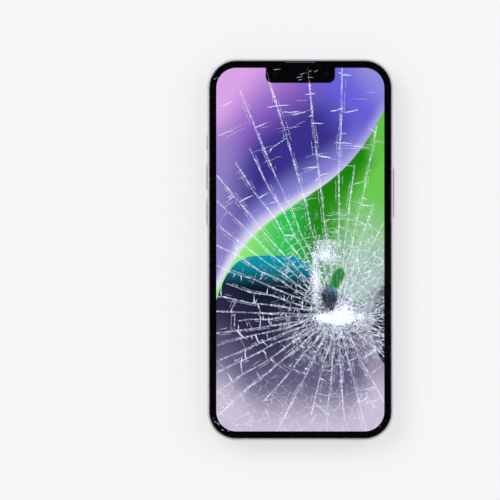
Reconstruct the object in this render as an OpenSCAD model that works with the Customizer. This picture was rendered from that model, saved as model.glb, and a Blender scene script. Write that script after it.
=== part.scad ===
// Flat-sided mobile phone with a shattered front glass.
// It lies on its back. +Z points out of the screen, +Y to the earpiece and +X to the side button.
// The origin is under the middle of the outline, at the height of the camera rings' faces.

/* [Body] */
// Width across the flat sides
body_w = 71.5; // [60:0.5:86]
// Height from the bottom edge to the top edge
body_h = 146.7; // [124:0.5:176]
// Thickness from the back glass to the front glass
body_t = 7.8; // [7.2:0.1:9.4]
// Corner radius of the outline, seen from the front
corner_r = 11.1; // [9.2:0.1:13.4]
// Rounding of the band's long outer edges
edge_r = 0.6; // [0.5:0.05:0.7]

/* [Band] */
// Wall of the band beside the inner cavity
band_wall = 2.2; // [1.8:0.1:2.7]
// Width of the rim that shows beside the glass
rim_w = 0.75; // [0.7:0.05:0.95]
// Height by which the glass stands proud of the rim
glass_proud = 0.1; // [0.05:0.01:0.15]
// Thickness of the plate across the middle
plate_t = 0.6; // [0.5:0.05:0.75]
// Width of one plastic antenna strip
strip_w = 1.2; // [1:0.1:1.5]
// Distance of the strips from the nearest corner of the outline
strip_inset = 14.8; // [13.8:0.1:17]

/* [Glass] */
// Thickness of the front glass
glass_t = 0.7; // [0.58:0.02:0.84]
// Thickness of the back glass
back_glass_t = 0.8; // [0.66:0.02:0.96]
// Wall of the seal around either glass
seal_wall = 0.12; // [0.1:0.01:0.15]
// Clearance of what is let into another piece
fit_gap = 0.04; // [0.03:0.005:0.05]

/* [Display] */
// Width of the lit area
active_w = 64.6; // [54:0.1:64.6]
// Black border above and below the lit area, up to the edge of the body
active_inset_y = 3.45; // [3.4:0.05:4.2]
// Corner radius of the lit area
active_r = 7.6; // [6.3:0.1:9.1]
// Width of the notch
notch_w = 26.7; // [25.8:0.1:32]
// Depth of the notch below the top of the lit area
notch_h = 5.8; // [5.3:0.1:7]
// Corner radius at the bottom of the notch
notch_r = 2.6; // [2.1:0.1:3.1]
// Thickness of the display panel
panel_t = 0.7; // [0.58:0.02:0.8]
// Thickness of the plate behind the panel
backplate_t = 0.35; // [0.3:0.01:0.42]

/* [Cracks] */
// Distance of the impact to the right of the middle
impact_x = 14; // [11:0.1:17]
// Distance of the impact below the middle
impact_drop = 24.8; // [20:0.1:30]
// Radius of the crushed spot at the impact
core_r = 5; // [4.1:0.1:6]
// Width of a crack beside the crushed spot
crack_wide = 0.16; // [0.12:0.01:0.2]
// Width of a crack at the edge of the glass
crack_fine = 0.08; // [0.06:0.01:0.1]
// Sideways wander of a crack at each of its bends
crack_wander = 1.1; // [0.7:0.1:1.4]

/* [Cameras] */
// Side of the raised square of glass around the cameras
plateau_w = 31.4; // [30:0.1:37]
// Corner radius of the raised square
plateau_r = 8.7; // [7.3:0.1:10.4]
// Height of the raised square above the back glass
plateau_h = 1.1; // [0.92:0.02:1.32]
// Distance from its middle to the nearest side and to the top edge
plateau_inset = 18.1; // [17.6:0.1:20]
// Height of the lens rings above the raised square
ring_h = 1.6; // [1.4:0.05:1.9]
// Outer radius of a lens ring
ring_r = 7.1; // [6.9:0.05:7.4]
// Radius of the glass disc in a lens ring
lens_cover_r = 6.35; // [6.1:0.05:6.5]
// Offset of either lens from the middle of the raised square, both ways
lens_offset = 6.4; // [6.3:0.1:7.2]
// Radius of a moving lens barrel
barrel_r = 3.5; // [3:0.1:4]
// Focusing travel of a lens barrel
focus_travel = 0.3; // [0.2:0.05:0.35]
// Radius of the flash window
flash_r = 3.1; // [2.6:0.1:3.3]

/* [Keys] */
// Distance of the side button's middle from the top edge
side_key_y = 51.4; // [46:0.1:60]
// Length of the side button
side_key_len = 19.5; // [16:0.1:23.4]
// Distance of the upper volume button's middle from the top edge
volume_up_y = 45.2; // [44:0.1:46]
// Distance of the lower volume button's middle from the top edge
volume_down_y = 58.7; // [58:0.1:60]
// Length of a volume button
volume_len = 10.4; // [8.6:0.1:11.2]
// Height of the buttons
key_h = 3.0; // [2.5:0.1:3.2]
// Height by which the buttons stand out of the band
key_proud = 0.4; // [0.3:0.05:0.5]
// Travel of a button when it is pressed
key_travel = 0.25; // [0.2:0.01:0.3]
// Distance of the ring switch's middle from the top edge
switch_y = 32.2; // [31:0.1:33]
// Length of the ring switch's opening
switch_len = 5.7; // [4.8:0.1:6.2]
// Travel of the ring switch
switch_travel = 1.1; // [0.9:0.05:1.2]
// Height of the ring switch's knob
switch_knob_h = 1.9; // [1.6:0.05:2]

/* [SIM tray] */
// Distance of the tray's middle from the top edge
tray_y = 78; // [76:0.1:84]
// Length of the tray's face
tray_len = 14.6; // [14.2:0.1:15.2]
// Height of the tray's face
tray_h = 2.4; // [2.2:0.05:2.6]
// Depth to which the tray reaches into the body
tray_depth = 15.4; // [14:0.1:16]
// Thickness of the tray's plate
tray_plate_t = 1.1; // [0.95:0.05:1.2]

/* [Bottom edge] */
// Width of the charging socket
socket_w = 7.2; // [6.9:0.1:7.8]
// Height of the charging socket
socket_h = 2.1; // [1.9:0.05:2.4]
// Depth of the charging socket
socket_depth = 8.2; // [7.2:0.1:9]
// Radius of a sound hole
sound_hole_r = 0.75; // [0.62:0.01:0.9]
// Distance between sound holes
sound_pitch = 2.5; // [2.3:0.05:2.6]
// Distance of the first sound hole from the middle
sound_first_x = 11.2; // [11:0.1:12]
// Distance of either bottom screw from the middle
end_screw_x = 6.9; // [6.8:0.05:7]

/* [Inside] */
// Depth of the bottom modules, from bottom to top
bottom_module_h = 13.6; // [12.6:0.1:16]
// Width of the main circuit board
board_w = 20.7; // [18:0.1:22]
// Thickness of the main circuit board
board_t = 0.8; // [0.7:0.05:0.9]
// Side of a camera's square housing
camera_w = 12.2; // [12.1:0.05:12.4]
// Travel of the haptic motor's mass either way
haptic_travel = 0.8; // [0.6:0.05:1]
// Outer radius of the magnet ring
magnet_r = 27.9; // [27:0.1:28.4]
// Radial width of the magnet ring
magnet_w = 4.3; // [3.8:0.1:4.8]
// Radius of the charging coil
coil_r = 21.2; // [18:0.1:22]

/* [Hidden] */
$fn = 64;

// Colours
lilac_metal = [0.80, 0.76, 0.84];
lilac_glass = [0.90, 0.86, 0.92];
black_part = [0.06, 0.06, 0.07];
steel = [0.72, 0.72, 0.74];
gold = [0.85, 0.68, 0.35];
copper = [0.78, 0.45, 0.28];
board_blue = [0.10, 0.22, 0.30];
clear_glass = [0.75, 0.85, 0.90, 0.35];

// How far two blocks of one piece run into each other
weld = 0.1;

// Levels, from the lens rings' faces up to the front glass
z_plateau = ring_h;
z_back = z_plateau + plateau_h;
z_front = z_back + body_t;
z_band_low = z_back + glass_proud;
z_band_high = z_front - glass_proud;
z_back_inner = z_back + back_glass_t;
coil_t = 0.5;
coil_room = 0.25;
z_plate = z_back_inner + coil_t + coil_room;
z_floor = z_plate + plate_t;
print_t = 0.05;
z_print = z_front - glass_t - print_t;
z_panel = z_print - panel_t;
z_backplate = z_panel - backplate_t;
display_room = 0.1;
z_ledge = z_backplate - display_room;
part_room = 0.15;
z_ceiling = z_ledge - part_room;
z_key = (z_floor + z_ledge) / 2;

// Insets of the outlines from the outer face of the band
seal_inset = rim_w + fit_gap;
glass_inset = seal_inset + seal_wall + fit_gap;
seal_ledge_w = 0.9;
lug_neck_w = 0.3;
panel_room = 0.15;
panel_inset = max(seal_inset + seal_ledge_w + 1, band_wall + fit_gap + lug_neck_w + panel_room);

// Half sizes
half_w = body_w / 2;
half_h = body_h / 2;
inner_x = half_w - band_wall;
inner_y = half_h - band_wall;

// Room beside the side walls for keys and switches, from the outer face
key_flange_t = 0.4;
key_play = 0.1;
// How much longer and higher than a button's cap its flange is
key_flange_over = [1, 0.45];
key_dome_r = 1.1;
dome_gap = 0.05;
dome_t = 0.15;
switch_plate_t = 0.5;
key_flange_u = band_wall + dome_gap;
dome_u = key_flange_u + key_flange_t + key_travel + dome_gap;
switch_plate_u = dome_u + dome_t;
side_room = switch_plate_u + switch_plate_t + 0.5;

// Cameras and what surrounds them
plateau_x = half_w - plateau_inset;
plateau_y = half_h - plateau_inset;
wide_at = [plateau_x + lens_offset, plateau_y + lens_offset];
main_at = [plateau_x - lens_offset, plateau_y - lens_offset];
// Both lie in the corners of the raised square that the lenses leave free
flash_offset = [-7.9, 8.2];
rear_mic_offset = [7.8, -7.4];
flash_at = [plateau_x + flash_offset[0], plateau_y + flash_offset[1]];
rear_mic_at = [plateau_x + rear_mic_offset[0], plateau_y + rear_mic_offset[1]];
rear_mic_r = 0.9;
rear_mic_can_r = 1.9;
neck_r = ring_r - 0.4;
neck_wall = 0.7;
snout_r = neck_r - neck_wall - 0.1;
cover_t = 0.6;
cover_depth = 0.15;
snout_gap = 0.55;
bracket_t = 0.25;
z_camera_top = z_ceiling - bracket_t;

// Display outlines
active_h = body_h - 2 * active_inset_y;
active_top = active_h / 2;
earpiece_w = 11.6;
earpiece_d = 0.55;
sensor_drop = 2.5;
sensor_y = active_top - sensor_drop;
sensor_w = 5.2;
sensor_at = [-9.6, -3.2, 3.6, 10];
sensor_lens_r = 1.7;
// Windows in the black border over the sensors, as a share of their lenses
sensor_window = 0.75;

// Places of the keys along the sides
side_key_at = half_h - side_key_y;
volume_up_at = half_h - volume_up_y;
volume_down_at = half_h - volume_down_y;
switch_at = half_h - switch_y;
tray_at = half_h - tray_y;
switch_opening_h = switch_knob_h + switch_travel + 0.2;
switch_knob_proud = 0.3;

// Inner layout
module_gap = 0.5;
end_room = 2;
bottom_low = -inner_y + end_room;
bottom_high = bottom_low + bottom_module_h;
board_low = bottom_high + module_gap;
board_left = -half_w + side_room;
board_right = board_left + board_w;
camera_low = main_at[1] - camera_w / 2;
// Room between the board and the sensors for the earpiece's speaker
earpiece_room = 8.8;
board_high = sensor_y - sensor_w / 2 - earpiece_room;
arm_low = camera_low + 0.2;
arm_right = main_at[0] - camera_w / 2 - module_gap;
battery_left = board_right + module_gap;
battery_right = half_w - side_room;
battery_high = camera_low - 1;
adhesive_t = 0.1;
reader_wall = 0.2;
reader_from_wall = 0.2;
reader_room = 0.15;
reader_half_y = tray_len / 2 + 0.4;
reader_deep = tray_depth + 0.8;
z_board = z_floor + board_t;
screw_r = 0.5;
screw_head_r = 0.9;
screw_head_t = 0.35;
screw_play = 0.03;
// Distance of a screw from the edges of the piece that it holds
screw_edge = 1.3;
board_screws = [
    [board_left + screw_edge, board_low + screw_edge],
    [board_right - screw_edge, board_low + screw_edge],
    [board_left + screw_edge, board_high - screw_edge],
    [arm_right - screw_edge, board_high - screw_edge]
];
// Either bracket screw stands beside a housing: outwards from its wall and inwards from its corner
bracket_screw_out = 1.6;
bracket_screw_in = 1.1;
bracket_screws = [
    [wide_at[0] + camera_w / 2 - bracket_screw_in, wide_at[1] - camera_w / 2 - bracket_screw_out],
    [main_at[0] + camera_w / 2 + bracket_screw_out, main_at[1] - camera_w / 2 + bracket_screw_in]
];
// The speaker and the haptic motor lie on either side of the charging socket
speaker_left = 9;
speaker_room = 1.2;
speaker_right = inner_x - speaker_room;
haptic_room = 3.4;
haptic_left = -inner_x + haptic_room;
haptic_right = -7.4;
speaker_screw = [speaker_right - screw_edge, bottom_high - screw_edge];
haptic_screw = [haptic_left + screw_edge, bottom_high - screw_edge];
module_tab = 2.6;
module_tab_t = 0.5;

// Long cracks of the front glass: direction about the impact in degrees, and how far each runs
long_cracks = [
    [20, 90], [45, 90], [63, 90], [71, 44], [78, 74], [83, 58], [89, 140], [97, 140], [106, 140],
    [113.5, 94], [118, 72], [123.5, 70], [131, 90], [137, 90], [143, 56], [150, 90], [158, 90],
    [165, 44], [172, 90], [179, 90], [184, 38], [189, 90], [195, 90], [201, 90], [206, 52],
    [213, 90], [220, 90], [230, 44], [243, 90], [256, 40], [265, 90], [274, 42], [284, 90],
    [298, 60], [318, 60], [338, 60], [358, 60]
];
// Distances from the impact at which a long crack bends
bend_r = [3.4, 8, 13, 19, 26, 34, 44, 57, 73, 92, 118, 150];
// Distances from the impact of the cracks that run round it, and how far they stray from these
round_r = [9.2, 14.2, 20.5, 28.5, 39, 53, 69, 88];
round_stray = 0.12;
round_skew = 0.05;
// Distance from the impact beyond which cracks are as fine as at the edge
crack_fade = 60;
impact = [impact_x, -impact_drop];

// ---------------------------------------------------------------- helpers

// A number from 0 to 1 that two whole numbers always give again
function chance(i, k) = let (s = sin(i * 127.1 + k * 311.7 + 74.7) * 43758.5453) s - floor(s);

// Distance from the middle of a place in a side wall, given its depth from the outer face
function wall_x(u) = half_w - u;

// A flat outline with round corners
module outline(w, h, r) {
    square([w - 2 * r, h], center = true);
    square([w, h - 2 * r], center = true);
    for (x = [-1, 1], y = [-1, 1])
        translate([x * (w / 2 - r), y * (h / 2 - r)]) circle(r);
}

// The body's outline taken in by a distance, as a plate between two levels
module body_plate(inset, z0, z1) {
    translate([0, 0, z0]) linear_extrude(z1 - z0)
        outline(body_w - 2 * inset, body_h - 2 * inset, corner_r - inset);
}

// A block given by its two corners
module block(low, high) {
    translate(low) cube(high - low);
}

// A plate with round corners, given by its lowest corner and its highest
module soft_block(low, high, r) {
    translate([(low[0] + high[0]) / 2, (low[1] + high[1]) / 2, low[2]])
        linear_extrude(high[2] - low[2]) outline(high[0] - low[0], high[1] - low[1], r);
}

// Sweeps a section round an outline: x is 0 on the outline and negative inside it, y is height
module sweep_round(w, h, r) {
    for (q = [0 : 3]) {
        across = q % 2 == 0 ? w : h;
        along = q % 2 == 0 ? h : w;
        rotate(q * 90) {
            translate([across / 2, along / 2 - r, 0]) rotate([90, 0, 0])
                linear_extrude(along - 2 * r) children();
            translate([across / 2 - r, along / 2 - r, 0])
                rotate_extrude(angle = 90) translate([r, 0]) children();
        }
    }
}

// A rod along X with long flat sides and round ends, from one depth in a side wall to another
module wall_pill(side, u0, u1, y, z, len, height) {
    x0 = min(side * wall_x(u0), side * wall_x(u1));
    translate([x0, y, z]) {
        translate([0, -(len - height) / 2, -height / 2])
            cube([abs(u1 - u0), len - height, height]);
        for (end = [-1, 1])
            translate([0, end * (len - height) / 2, 0]) rotate([0, 90, 0])
                cylinder(h = abs(u1 - u0), d = height);
    }
}

// A block beside a side wall, between two depths from its outer face
module wall_block(side, u0, u1, y0, y1, z0, z1) {
    x0 = min(side * wall_x(u0), side * wall_x(u1));
    translate([x0, y0, z0]) cube([abs(u1 - u0), y1 - y0, z1 - z0]);
}

// A rod along Y with round ends, from one depth in the bottom wall to another
module end_pill(v0, v1, z, w, height) {
    translate([0, -half_h + v0, z]) {
        translate([-(w - height) / 2, 0, -height / 2]) cube([w - height, v1 - v0, height]);
        for (end = [-1, 1])
            translate([end * (w - height) / 2, 0, 0]) rotate([-90, 0, 0])
                cylinder(h = v1 - v0, d = height);
    }
}

// A round rod along Y, from one depth in the bottom wall to another
module end_rod(x, z, v0, v1, r) {
    translate([x, -half_h + v0, z]) rotate([-90, 0, 0]) cylinder(h = v1 - v0, r = r);
}

// ---------------------------------------------------------------- band

// Section of the band: a rim with round outer edges, and a thicker wall beside the cavity
module band_section() {
    translate([-rim_w, z_band_low + edge_r])
        square([rim_w, z_band_high - z_band_low - 2 * edge_r]);
    translate([-rim_w, z_band_low]) square([rim_w - edge_r, z_band_high - z_band_low]);
    intersection() {
        for (z = [z_band_low + edge_r, z_band_high - edge_r])
            translate([-edge_r, z]) circle(edge_r);
        translate([-edge_r, z_band_low]) square([edge_r, z_band_high - z_band_low]);
    }
    translate([-band_wall, z_plate]) square([band_wall - edge_r, z_ledge - z_plate]);
}

// Places of the plastic strips: distance along each wall, and the wall's direction
strip_side_y = half_h - strip_inset;
strip_end_x = half_w - strip_inset;
strips = [[0, strip_side_y], [0, -strip_side_y], [180, strip_side_y], [180, -strip_side_y],
          [90, -strip_end_x], [270, -strip_end_x]];

module at_strip(s) {
    rotate(s[0]) translate([(s[0] % 180 == 0 ? half_w : half_h), s[1], 0]) children();
}

module antenna_strips() {
    color(lilac_glass)
        for (s = strips)
            at_strip(s) translate([0, strip_w / 2, 0]) rotate([90, 0, 0])
                linear_extrude(strip_w) band_section();
}

sound_right = 6;
sound_left = 4;

module sound_holes() {
    for (i = [0 : sound_right - 1])
        end_rod(sound_first_x + i * sound_pitch, z_key, -1, band_wall + 1, sound_hole_r);
    for (i = [0 : sound_left - 1])
        end_rod(-sound_first_x - i * sound_pitch, z_key, -1, band_wall + 1, sound_hole_r);
}

port_lip = 0.6;
end_head_r = 0.85;
end_head_depth = 0.7;

module band_openings() {
    for (s = strips)
        at_strip(s) translate([-band_wall, -strip_w / 2, z_back])
            cube([band_wall + 1, strip_w, body_t]);
    wall_pill(1, -1, band_wall + 1, side_key_at, z_key, side_key_len + 2 * key_play,
              key_h + 2 * key_play);
    for (y = [volume_up_at, volume_down_at])
        wall_pill(-1, -1, band_wall + 1, y, z_key, volume_len + 2 * key_play, key_h + 2 * key_play);
    wall_block(-1, -1, band_wall + 1, switch_at - switch_len / 2, switch_at + switch_len / 2,
               z_key - switch_opening_h / 2, z_key + switch_opening_h / 2);
    wall_pill(-1, -1, band_wall + 1, tray_at, z_key, tray_len + 2 * key_play, tray_h + 2 * key_play);
    end_pill(-1, band_wall + 1, z_key, socket_w + 2 * (port_lip + fit_gap),
             socket_h + 2 * (port_lip + fit_gap));
    for (x = [-end_screw_x, end_screw_x]) {
        end_rod(x, z_key, -1, end_head_depth, end_head_r + fit_gap);
        end_rod(x, z_key, 0, band_wall + 1, screw_r + 2 * fit_gap);
    }
    sound_holes();
}

neck_room = 0.3;
coil_pass_w = 6;
coil_pass_len = 3;
coil_pass_at = [board_right - 9, board_low + 12];

module plate_openings() {
    for (at = [wide_at, main_at])
        translate([at[0], at[1], z_plate - 1]) cylinder(h = plate_t + 2, r = neck_r + neck_room);
    for (at = concat(board_screws, bracket_screws, [speaker_screw, haptic_screw]))
        translate([at[0], at[1], z_plate - 1]) cylinder(h = plate_t + 2, r = screw_r + screw_play);
    // Pass for the coil's ribbon
    soft_block([coil_pass_at[0], coil_pass_at[1], z_plate - 1],
               [coil_pass_at[0] + coil_pass_w, coil_pass_at[1] + coil_pass_len, z_floor + 1], 1);
}

// Depth to which the plate runs into the band
plate_weld = 0.2;

module mid_frame() {
    color(lilac_metal)
        difference() {
            union() {
                sweep_round(body_w, body_h, corner_r) band_section();
                body_plate(band_wall - plate_weld, z_plate, z_floor);
            }
            band_openings();
            plate_openings();
        }
}

// ---------------------------------------------------------------- display

// Lug of the carrier that a bottom screw holds
lug_w = 2.4;
lug_t = 1.6;
lug_below_key = 1.2;
lug_neck_t = 0.5;
lug_neck_drop = 0.3;

module display_carrier() {
    color(black_part)
        difference() {
            union() {
                sweep_round(body_w - 2 * seal_inset, body_h - 2 * seal_inset, corner_r - seal_inset) {
                    translate([-seal_wall, z_ledge]) square([seal_wall, z_band_high - z_ledge]);
                    translate([-seal_ledge_w, z_ledge]) square([seal_ledge_w - seal_wall / 2,
                                                                z_print - z_ledge]);
                }
                for (x = [-end_screw_x, end_screw_x]) {
                    block([x - lug_w / 2, -inner_y + fit_gap, z_key - lug_below_key],
                          [x + lug_w / 2, -inner_y + lug_t, z_ledge]);
                    // Neck from the lug over the wall to the ring
                    block([x - lug_w / 2, -inner_y + fit_gap, z_ledge - lug_neck_drop],
                          [x + lug_w / 2, -half_h + panel_inset - panel_room, z_ledge + lug_neck_t]);
                    block([x - lug_w / 2, -half_h + seal_inset + seal_ledge_w / 2, z_ledge],
                          [x + lug_w / 2, -half_h + panel_inset - panel_room, z_ledge + lug_neck_t]);
                }
            }
            for (x = [-end_screw_x, end_screw_x])
                end_rod(x, z_key, 0, band_wall + lug_t + 1, screw_r + screw_play);
        }
}

// Point on a long crack at one of its bends
function bend(i, k) =
    let (r = bend_r[k], side = crack_wander * (chance(i, k) - 0.5), a = long_cracks[i][0])
    impact + [r * cos(a) - side * sin(a), r * sin(a) + side * cos(a)];

// Width of a crack at a distance from the impact
function crack_w(r) = crack_fine + (crack_wide - crack_fine) * max(0, 1 - r / crack_fade);

// Point on a long crack at a distance from the impact, between its bends
function on_long(i, r) =
    let (k = len([for (b = bend_r) if (b < r) b]) - 1,
         share = (r - bend_r[k]) / (bend_r[k + 1] - bend_r[k]))
    bend(i, k) * (1 - share) + bend(i, k + 1) * share;

// The first long crack after one of them that runs far enough
function next_long(i, r) =
    let (j = (i + 1) % len(long_cracks)) long_cracks[j][1] > r ? j : next_long(j, r);

// A thin strip along a line of points, given the width at each of them
module crack_strip(points, widths) {
    last = len(points) - 1;
    function way(k) = let (d = points[min(k + 1, last)] - points[max(k - 1, 0)]) d / norm(d);
    function edge(k, s) = points[k] + s * widths[k] / 2 * [-way(k)[1], way(k)[0]];
    polygon(concat([for (k = [0 : last]) edge(k, 1)], [for (k = [last : -1 : 0]) edge(k, -1)]));
}

module straight_cracks() {
    for (i = [0 : len(long_cracks) - 1]) {
        run = long_cracks[i][1];
        bends = [for (k = [0 : len(bend_r) - 1]) if (bend_r[k] < run) k];
        crack_strip(concat([for (k = bends) bend(i, k)], [on_long(i, run)]),
                    concat([for (k = bends) crack_w(bend_r[k])], [crack_fine / 2]));
    }
}

// Cracks that join two neighbouring long ones, at a distance that differs at either end
module round_cracks() {
    for (i = [0 : len(long_cracks) - 1], m = [0 : len(round_r) - 1]) {
        r0 = round_r[m] * (1 - round_stray + 2 * round_stray * chance(i + 40, m));
        j = next_long(i, r0);
        r1 = min(r0 * (1 - round_skew + 2 * round_skew * chance(i + 80, m)), long_cracks[j][1]);
        if (long_cracks[i][1] > r0 && chance(i + 120, m) > 0.2 + 0.5 * m / len(round_r))
            crack_strip([on_long(i, r0), on_long(j, r1)], [crack_w(r0), crack_w(r1)]);
    }
}

// The crushed spot: an uneven ring of short cracks round it and three across it
module core_cracks() {
    n = 13;
    function rim(k) = impact + core_r * (0.86 + 0.2 * chance(k % n, 7))
        * [cos(k % n * 360 / n), sin(k % n * 360 / n)];
    for (k = [0 : n - 1])
        crack_strip([rim(k), rim(k + 1)], [crack_wide, crack_wide]);
    for (k = [0 : 2])
        crack_strip([rim(k * 2), impact + [0.3 * (k - 1), 0.2], rim(k * 2 + 7)],
                    [crack_wide, crack_wide, crack_wide]);
}

module cover_glass() {
    color(clear_glass) translate([0, 0, z_front - glass_t]) linear_extrude(glass_t)
        difference() {
            outline(body_w - 2 * glass_inset, body_h - 2 * glass_inset, corner_r - glass_inset);
            translate([-earpiece_w / 2, half_h - glass_inset - earpiece_d])
                square([earpiece_w, earpiece_d + 1]);
            union() {
                straight_cracks();
                round_cracks();
                core_cracks();
            }
        }
}

// Outline of the notch, open at the top
module notch(top) {
    translate([-notch_w / 2, active_top - notch_h + notch_r])
        square([notch_w, top - active_top + notch_h - notch_r]);
    translate([-notch_w / 2 + notch_r, active_top - notch_h])
        square([notch_w - 2 * notch_r, notch_r]);
    for (x = [-1, 1])
        translate([x * (notch_w / 2 - notch_r), active_top - notch_h + notch_r]) circle(notch_r);
}

module border_print() {
    color(black_part) translate([0, 0, z_print]) linear_extrude(print_t)
        difference() {
            outline(body_w - 2 * glass_inset, body_h - 2 * glass_inset, corner_r - glass_inset);
            difference() {
                outline(active_w, active_h, active_r);
                notch(active_top + 1);
            }
            for (i = [0, 2, 3])
                translate([sensor_at[i], sensor_y]) circle(sensor_lens_r * sensor_window);
            translate([-earpiece_w / 2, half_h - glass_inset - earpiece_d])
                square([earpiece_w, earpiece_d + 1]);
        }
}

// A layer of the display between two levels, with its notch
module display_layer(inset, z0, z1) {
    translate([0, 0, z0]) linear_extrude(z1 - z0)
        difference() {
            outline(body_w - 2 * inset, body_h - 2 * inset, corner_r - inset);
            notch(half_h);
        }
}

module display_panel() {
    color([0.35, 0.28, 0.65]) display_layer(panel_inset, z_panel, z_print);
}

backplate_set_in = 0.3;

module display_backplate() {
    color(steel) display_layer(panel_inset + backplate_set_in, z_backplate, z_panel);
}

// Ribbon from the backplate down to its connector on the board
flex_w = 8;
flex_t = 0.15;
flex_at = board_low + 8;
flex_top_len = 6;
flex_over_board = 0.3;

module display_flex() {
    color(copper) {
        x = board_right + flex_t;
        block([x - flex_top_len, flex_at, z_backplate - flex_t], [x, flex_at + flex_w, z_backplate]);
        block([x - flex_t, flex_at, z_board + flex_over_board], [x, flex_at + flex_w, z_backplate]);
    }
}

// Depth of the earpiece's mesh below the face of the glass
mesh_drop = 0.2;

module earpiece_mesh() {
    color([0.2, 0.2, 0.21])
        block([-earpiece_w / 2 + fit_gap, half_h - glass_inset - earpiece_d + fit_gap,
               z_front - glass_t - print_t],
              [earpiece_w / 2 - fit_gap, half_h - glass_inset, z_front - mesh_drop]);
}

receiver_w = 15;
receiver_low = board_high + 1;
receiver_high = sensor_y - sensor_w / 2 - module_gap - 0.2;
receiver_well = 0.4;
receiver_rim = 2;
receiver_low_rim = 1.6;
receiver_high_rim = 1.3;

// Flat speaker under the glass, with a shallow well for its diaphragm
module earpiece_speaker() {
    color(black_part) difference() {
        soft_block([-receiver_w / 2, receiver_low, z_floor], [receiver_w / 2, receiver_high, z_ceiling], 1);
        block([-receiver_w / 2 + receiver_rim, receiver_low + receiver_low_rim, z_ceiling - receiver_well],
              [receiver_w / 2 - receiver_rim, receiver_high - receiver_high_rim, z_ceiling + 1]);
    }
}

bracket_floor_t = 0.25;
bracket_end_w = 0.6;
bracket_side_w = 0.4;
bracket_below_ledge = 1.4;
bracket_r = 0.8;

module sensor_bracket() {
    color(steel) difference() {
        soft_block([sensor_at[0] - sensor_w / 2 - bracket_end_w,
                    sensor_y - sensor_w / 2 - bracket_side_w, z_floor],
                   [sensor_at[3] + sensor_w / 2 + bracket_end_w,
                    sensor_y + sensor_w / 2 + bracket_side_w, z_ledge - bracket_below_ledge], bracket_r);
        for (x = sensor_at)
            block([x - sensor_w / 2 - fit_gap, sensor_y - sensor_w / 2 - fit_gap,
                   z_floor + bracket_floor_t],
                  [x + sensor_w / 2 + fit_gap, sensor_y + sensor_w / 2 + fit_gap, z_ledge]);
    }
}

sensor_r = 0.5;
// Radii of the front camera's cone-shaped well, at its bottom and above its mouth
lens_well_r = [0.5, 1.6];
lens_well_depth = 0.5;

// One of the sensors behind the notch, with its round lens just under the border
module sensor(i, lens_r) {
    soft_block([sensor_at[i] - sensor_w / 2, sensor_y - sensor_w / 2, z_floor + bracket_floor_t],
               [sensor_at[i] + sensor_w / 2, sensor_y + sensor_w / 2, z_panel], sensor_r);
    translate([sensor_at[i], sensor_y, z_panel - weld])
        cylinder(h = z_print - z_panel, r = lens_r);
}

module infrared_camera() {
    color(black_part) sensor(0, sensor_lens_r);
}

module light_sensor() {
    color(black_part) sensor(1, 1);
}

module front_camera() {
    color(black_part) difference() {
        sensor(2, sensor_lens_r);
        translate([sensor_at[2], sensor_y, z_print - lens_well_depth])
            cylinder(h = 2 * lens_well_depth, r1 = lens_well_r[0], r2 = lens_well_r[1]);
    }
}

module dot_projector() {
    color(black_part) sensor(3, 1.3);
}

// ---------------------------------------------------------------- keys

// A button: its pill-shaped cap, and the flange that keeps it in the wall
module key(side, y, length) {
    wall_pill(side, -key_proud, key_flange_u + key_flange_t, y, z_key, length, key_h);
    wall_pill(side, key_flange_u, key_flange_u + key_flange_t, y, z_key,
              length + key_flange_over[0], key_h + key_flange_over[1]);
}

// The fixed plate behind a button, with the domes that it presses
module switch_plate(side, y0, y1, domes) {
    wall_block(side, switch_plate_u, switch_plate_u + switch_plate_t, y0, y1, z_floor, z_ceiling);
    for (y = domes)
        translate([side > 0 ? wall_x(switch_plate_u) : -wall_x(dome_u), y, z_key])
            rotate([0, 90, 0]) cylinder(h = dome_t, r = key_dome_r);
}

module side_button() {
    color(lilac_metal) key(1, side_key_at, side_key_len);
}

module side_button_switch() {
    color(steel) switch_plate(1, side_key_at - side_key_len / 2, side_key_at + side_key_len / 2,
                              [side_key_at]);
}

module volume_up_button() {
    color(lilac_metal) key(-1, volume_up_at, volume_len);
}

module volume_down_button() {
    color(lilac_metal) key(-1, volume_down_at, volume_len);
}

module volume_switches() {
    color(steel) switch_plate(-1, volume_down_at - volume_len / 2, volume_up_at + volume_len / 2,
                              [volume_up_at, volume_down_at]);
}

// The knob stands towards the screen, and slides towards the back to silence the phone
switch_stem_len = 2.4;
switch_stem_h = 0.8;
switch_knob_gap = 0.1;
switch_base_u = band_wall + 0.05;
switch_base_t = 0.4;
switch_base_end = 0.6;
switch_base_back = 0.5;
switch_back_room = 0.1;
switch_back_wall = 0.3;
switch_back_u = switch_base_u + switch_base_t + switch_base_back + switch_back_room;
switch_knob_z = z_key + switch_travel / 2;

module ring_switch() {
    color(lilac_metal) {
        wall_block(-1, -switch_knob_proud, switch_base_u - switch_knob_gap,
                   switch_at - switch_len / 2 + key_play, switch_at + switch_len / 2 - key_play,
                   switch_knob_z - switch_knob_h / 2, switch_knob_z + switch_knob_h / 2);
        wall_block(-1, switch_base_u - switch_knob_gap - weld,
                   switch_base_u + switch_base_t + switch_base_back,
                   switch_at - switch_stem_len / 2, switch_at + switch_stem_len / 2,
                   switch_knob_z - switch_stem_h / 2, switch_knob_z + switch_stem_h / 2);
    }
}

module ring_switch_base() {
    color([0.85, 0.38, 0.12])
        difference() {
            wall_block(-1, switch_base_u, switch_back_u + switch_back_wall,
                       switch_at - switch_len / 2 - switch_base_end,
                       switch_at + switch_len / 2 + switch_base_end, z_floor, z_ceiling);
            wall_block(-1, switch_base_u - 1, switch_back_u, switch_at - switch_stem_len / 2 - key_play,
                       switch_at + switch_stem_len / 2 + key_play,
                       z_key - (switch_travel + switch_stem_h) / 2 - key_play,
                       z_key + (switch_travel + switch_stem_h) / 2 + key_play);
        }
}

// ---------------------------------------------------------------- SIM tray

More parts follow.
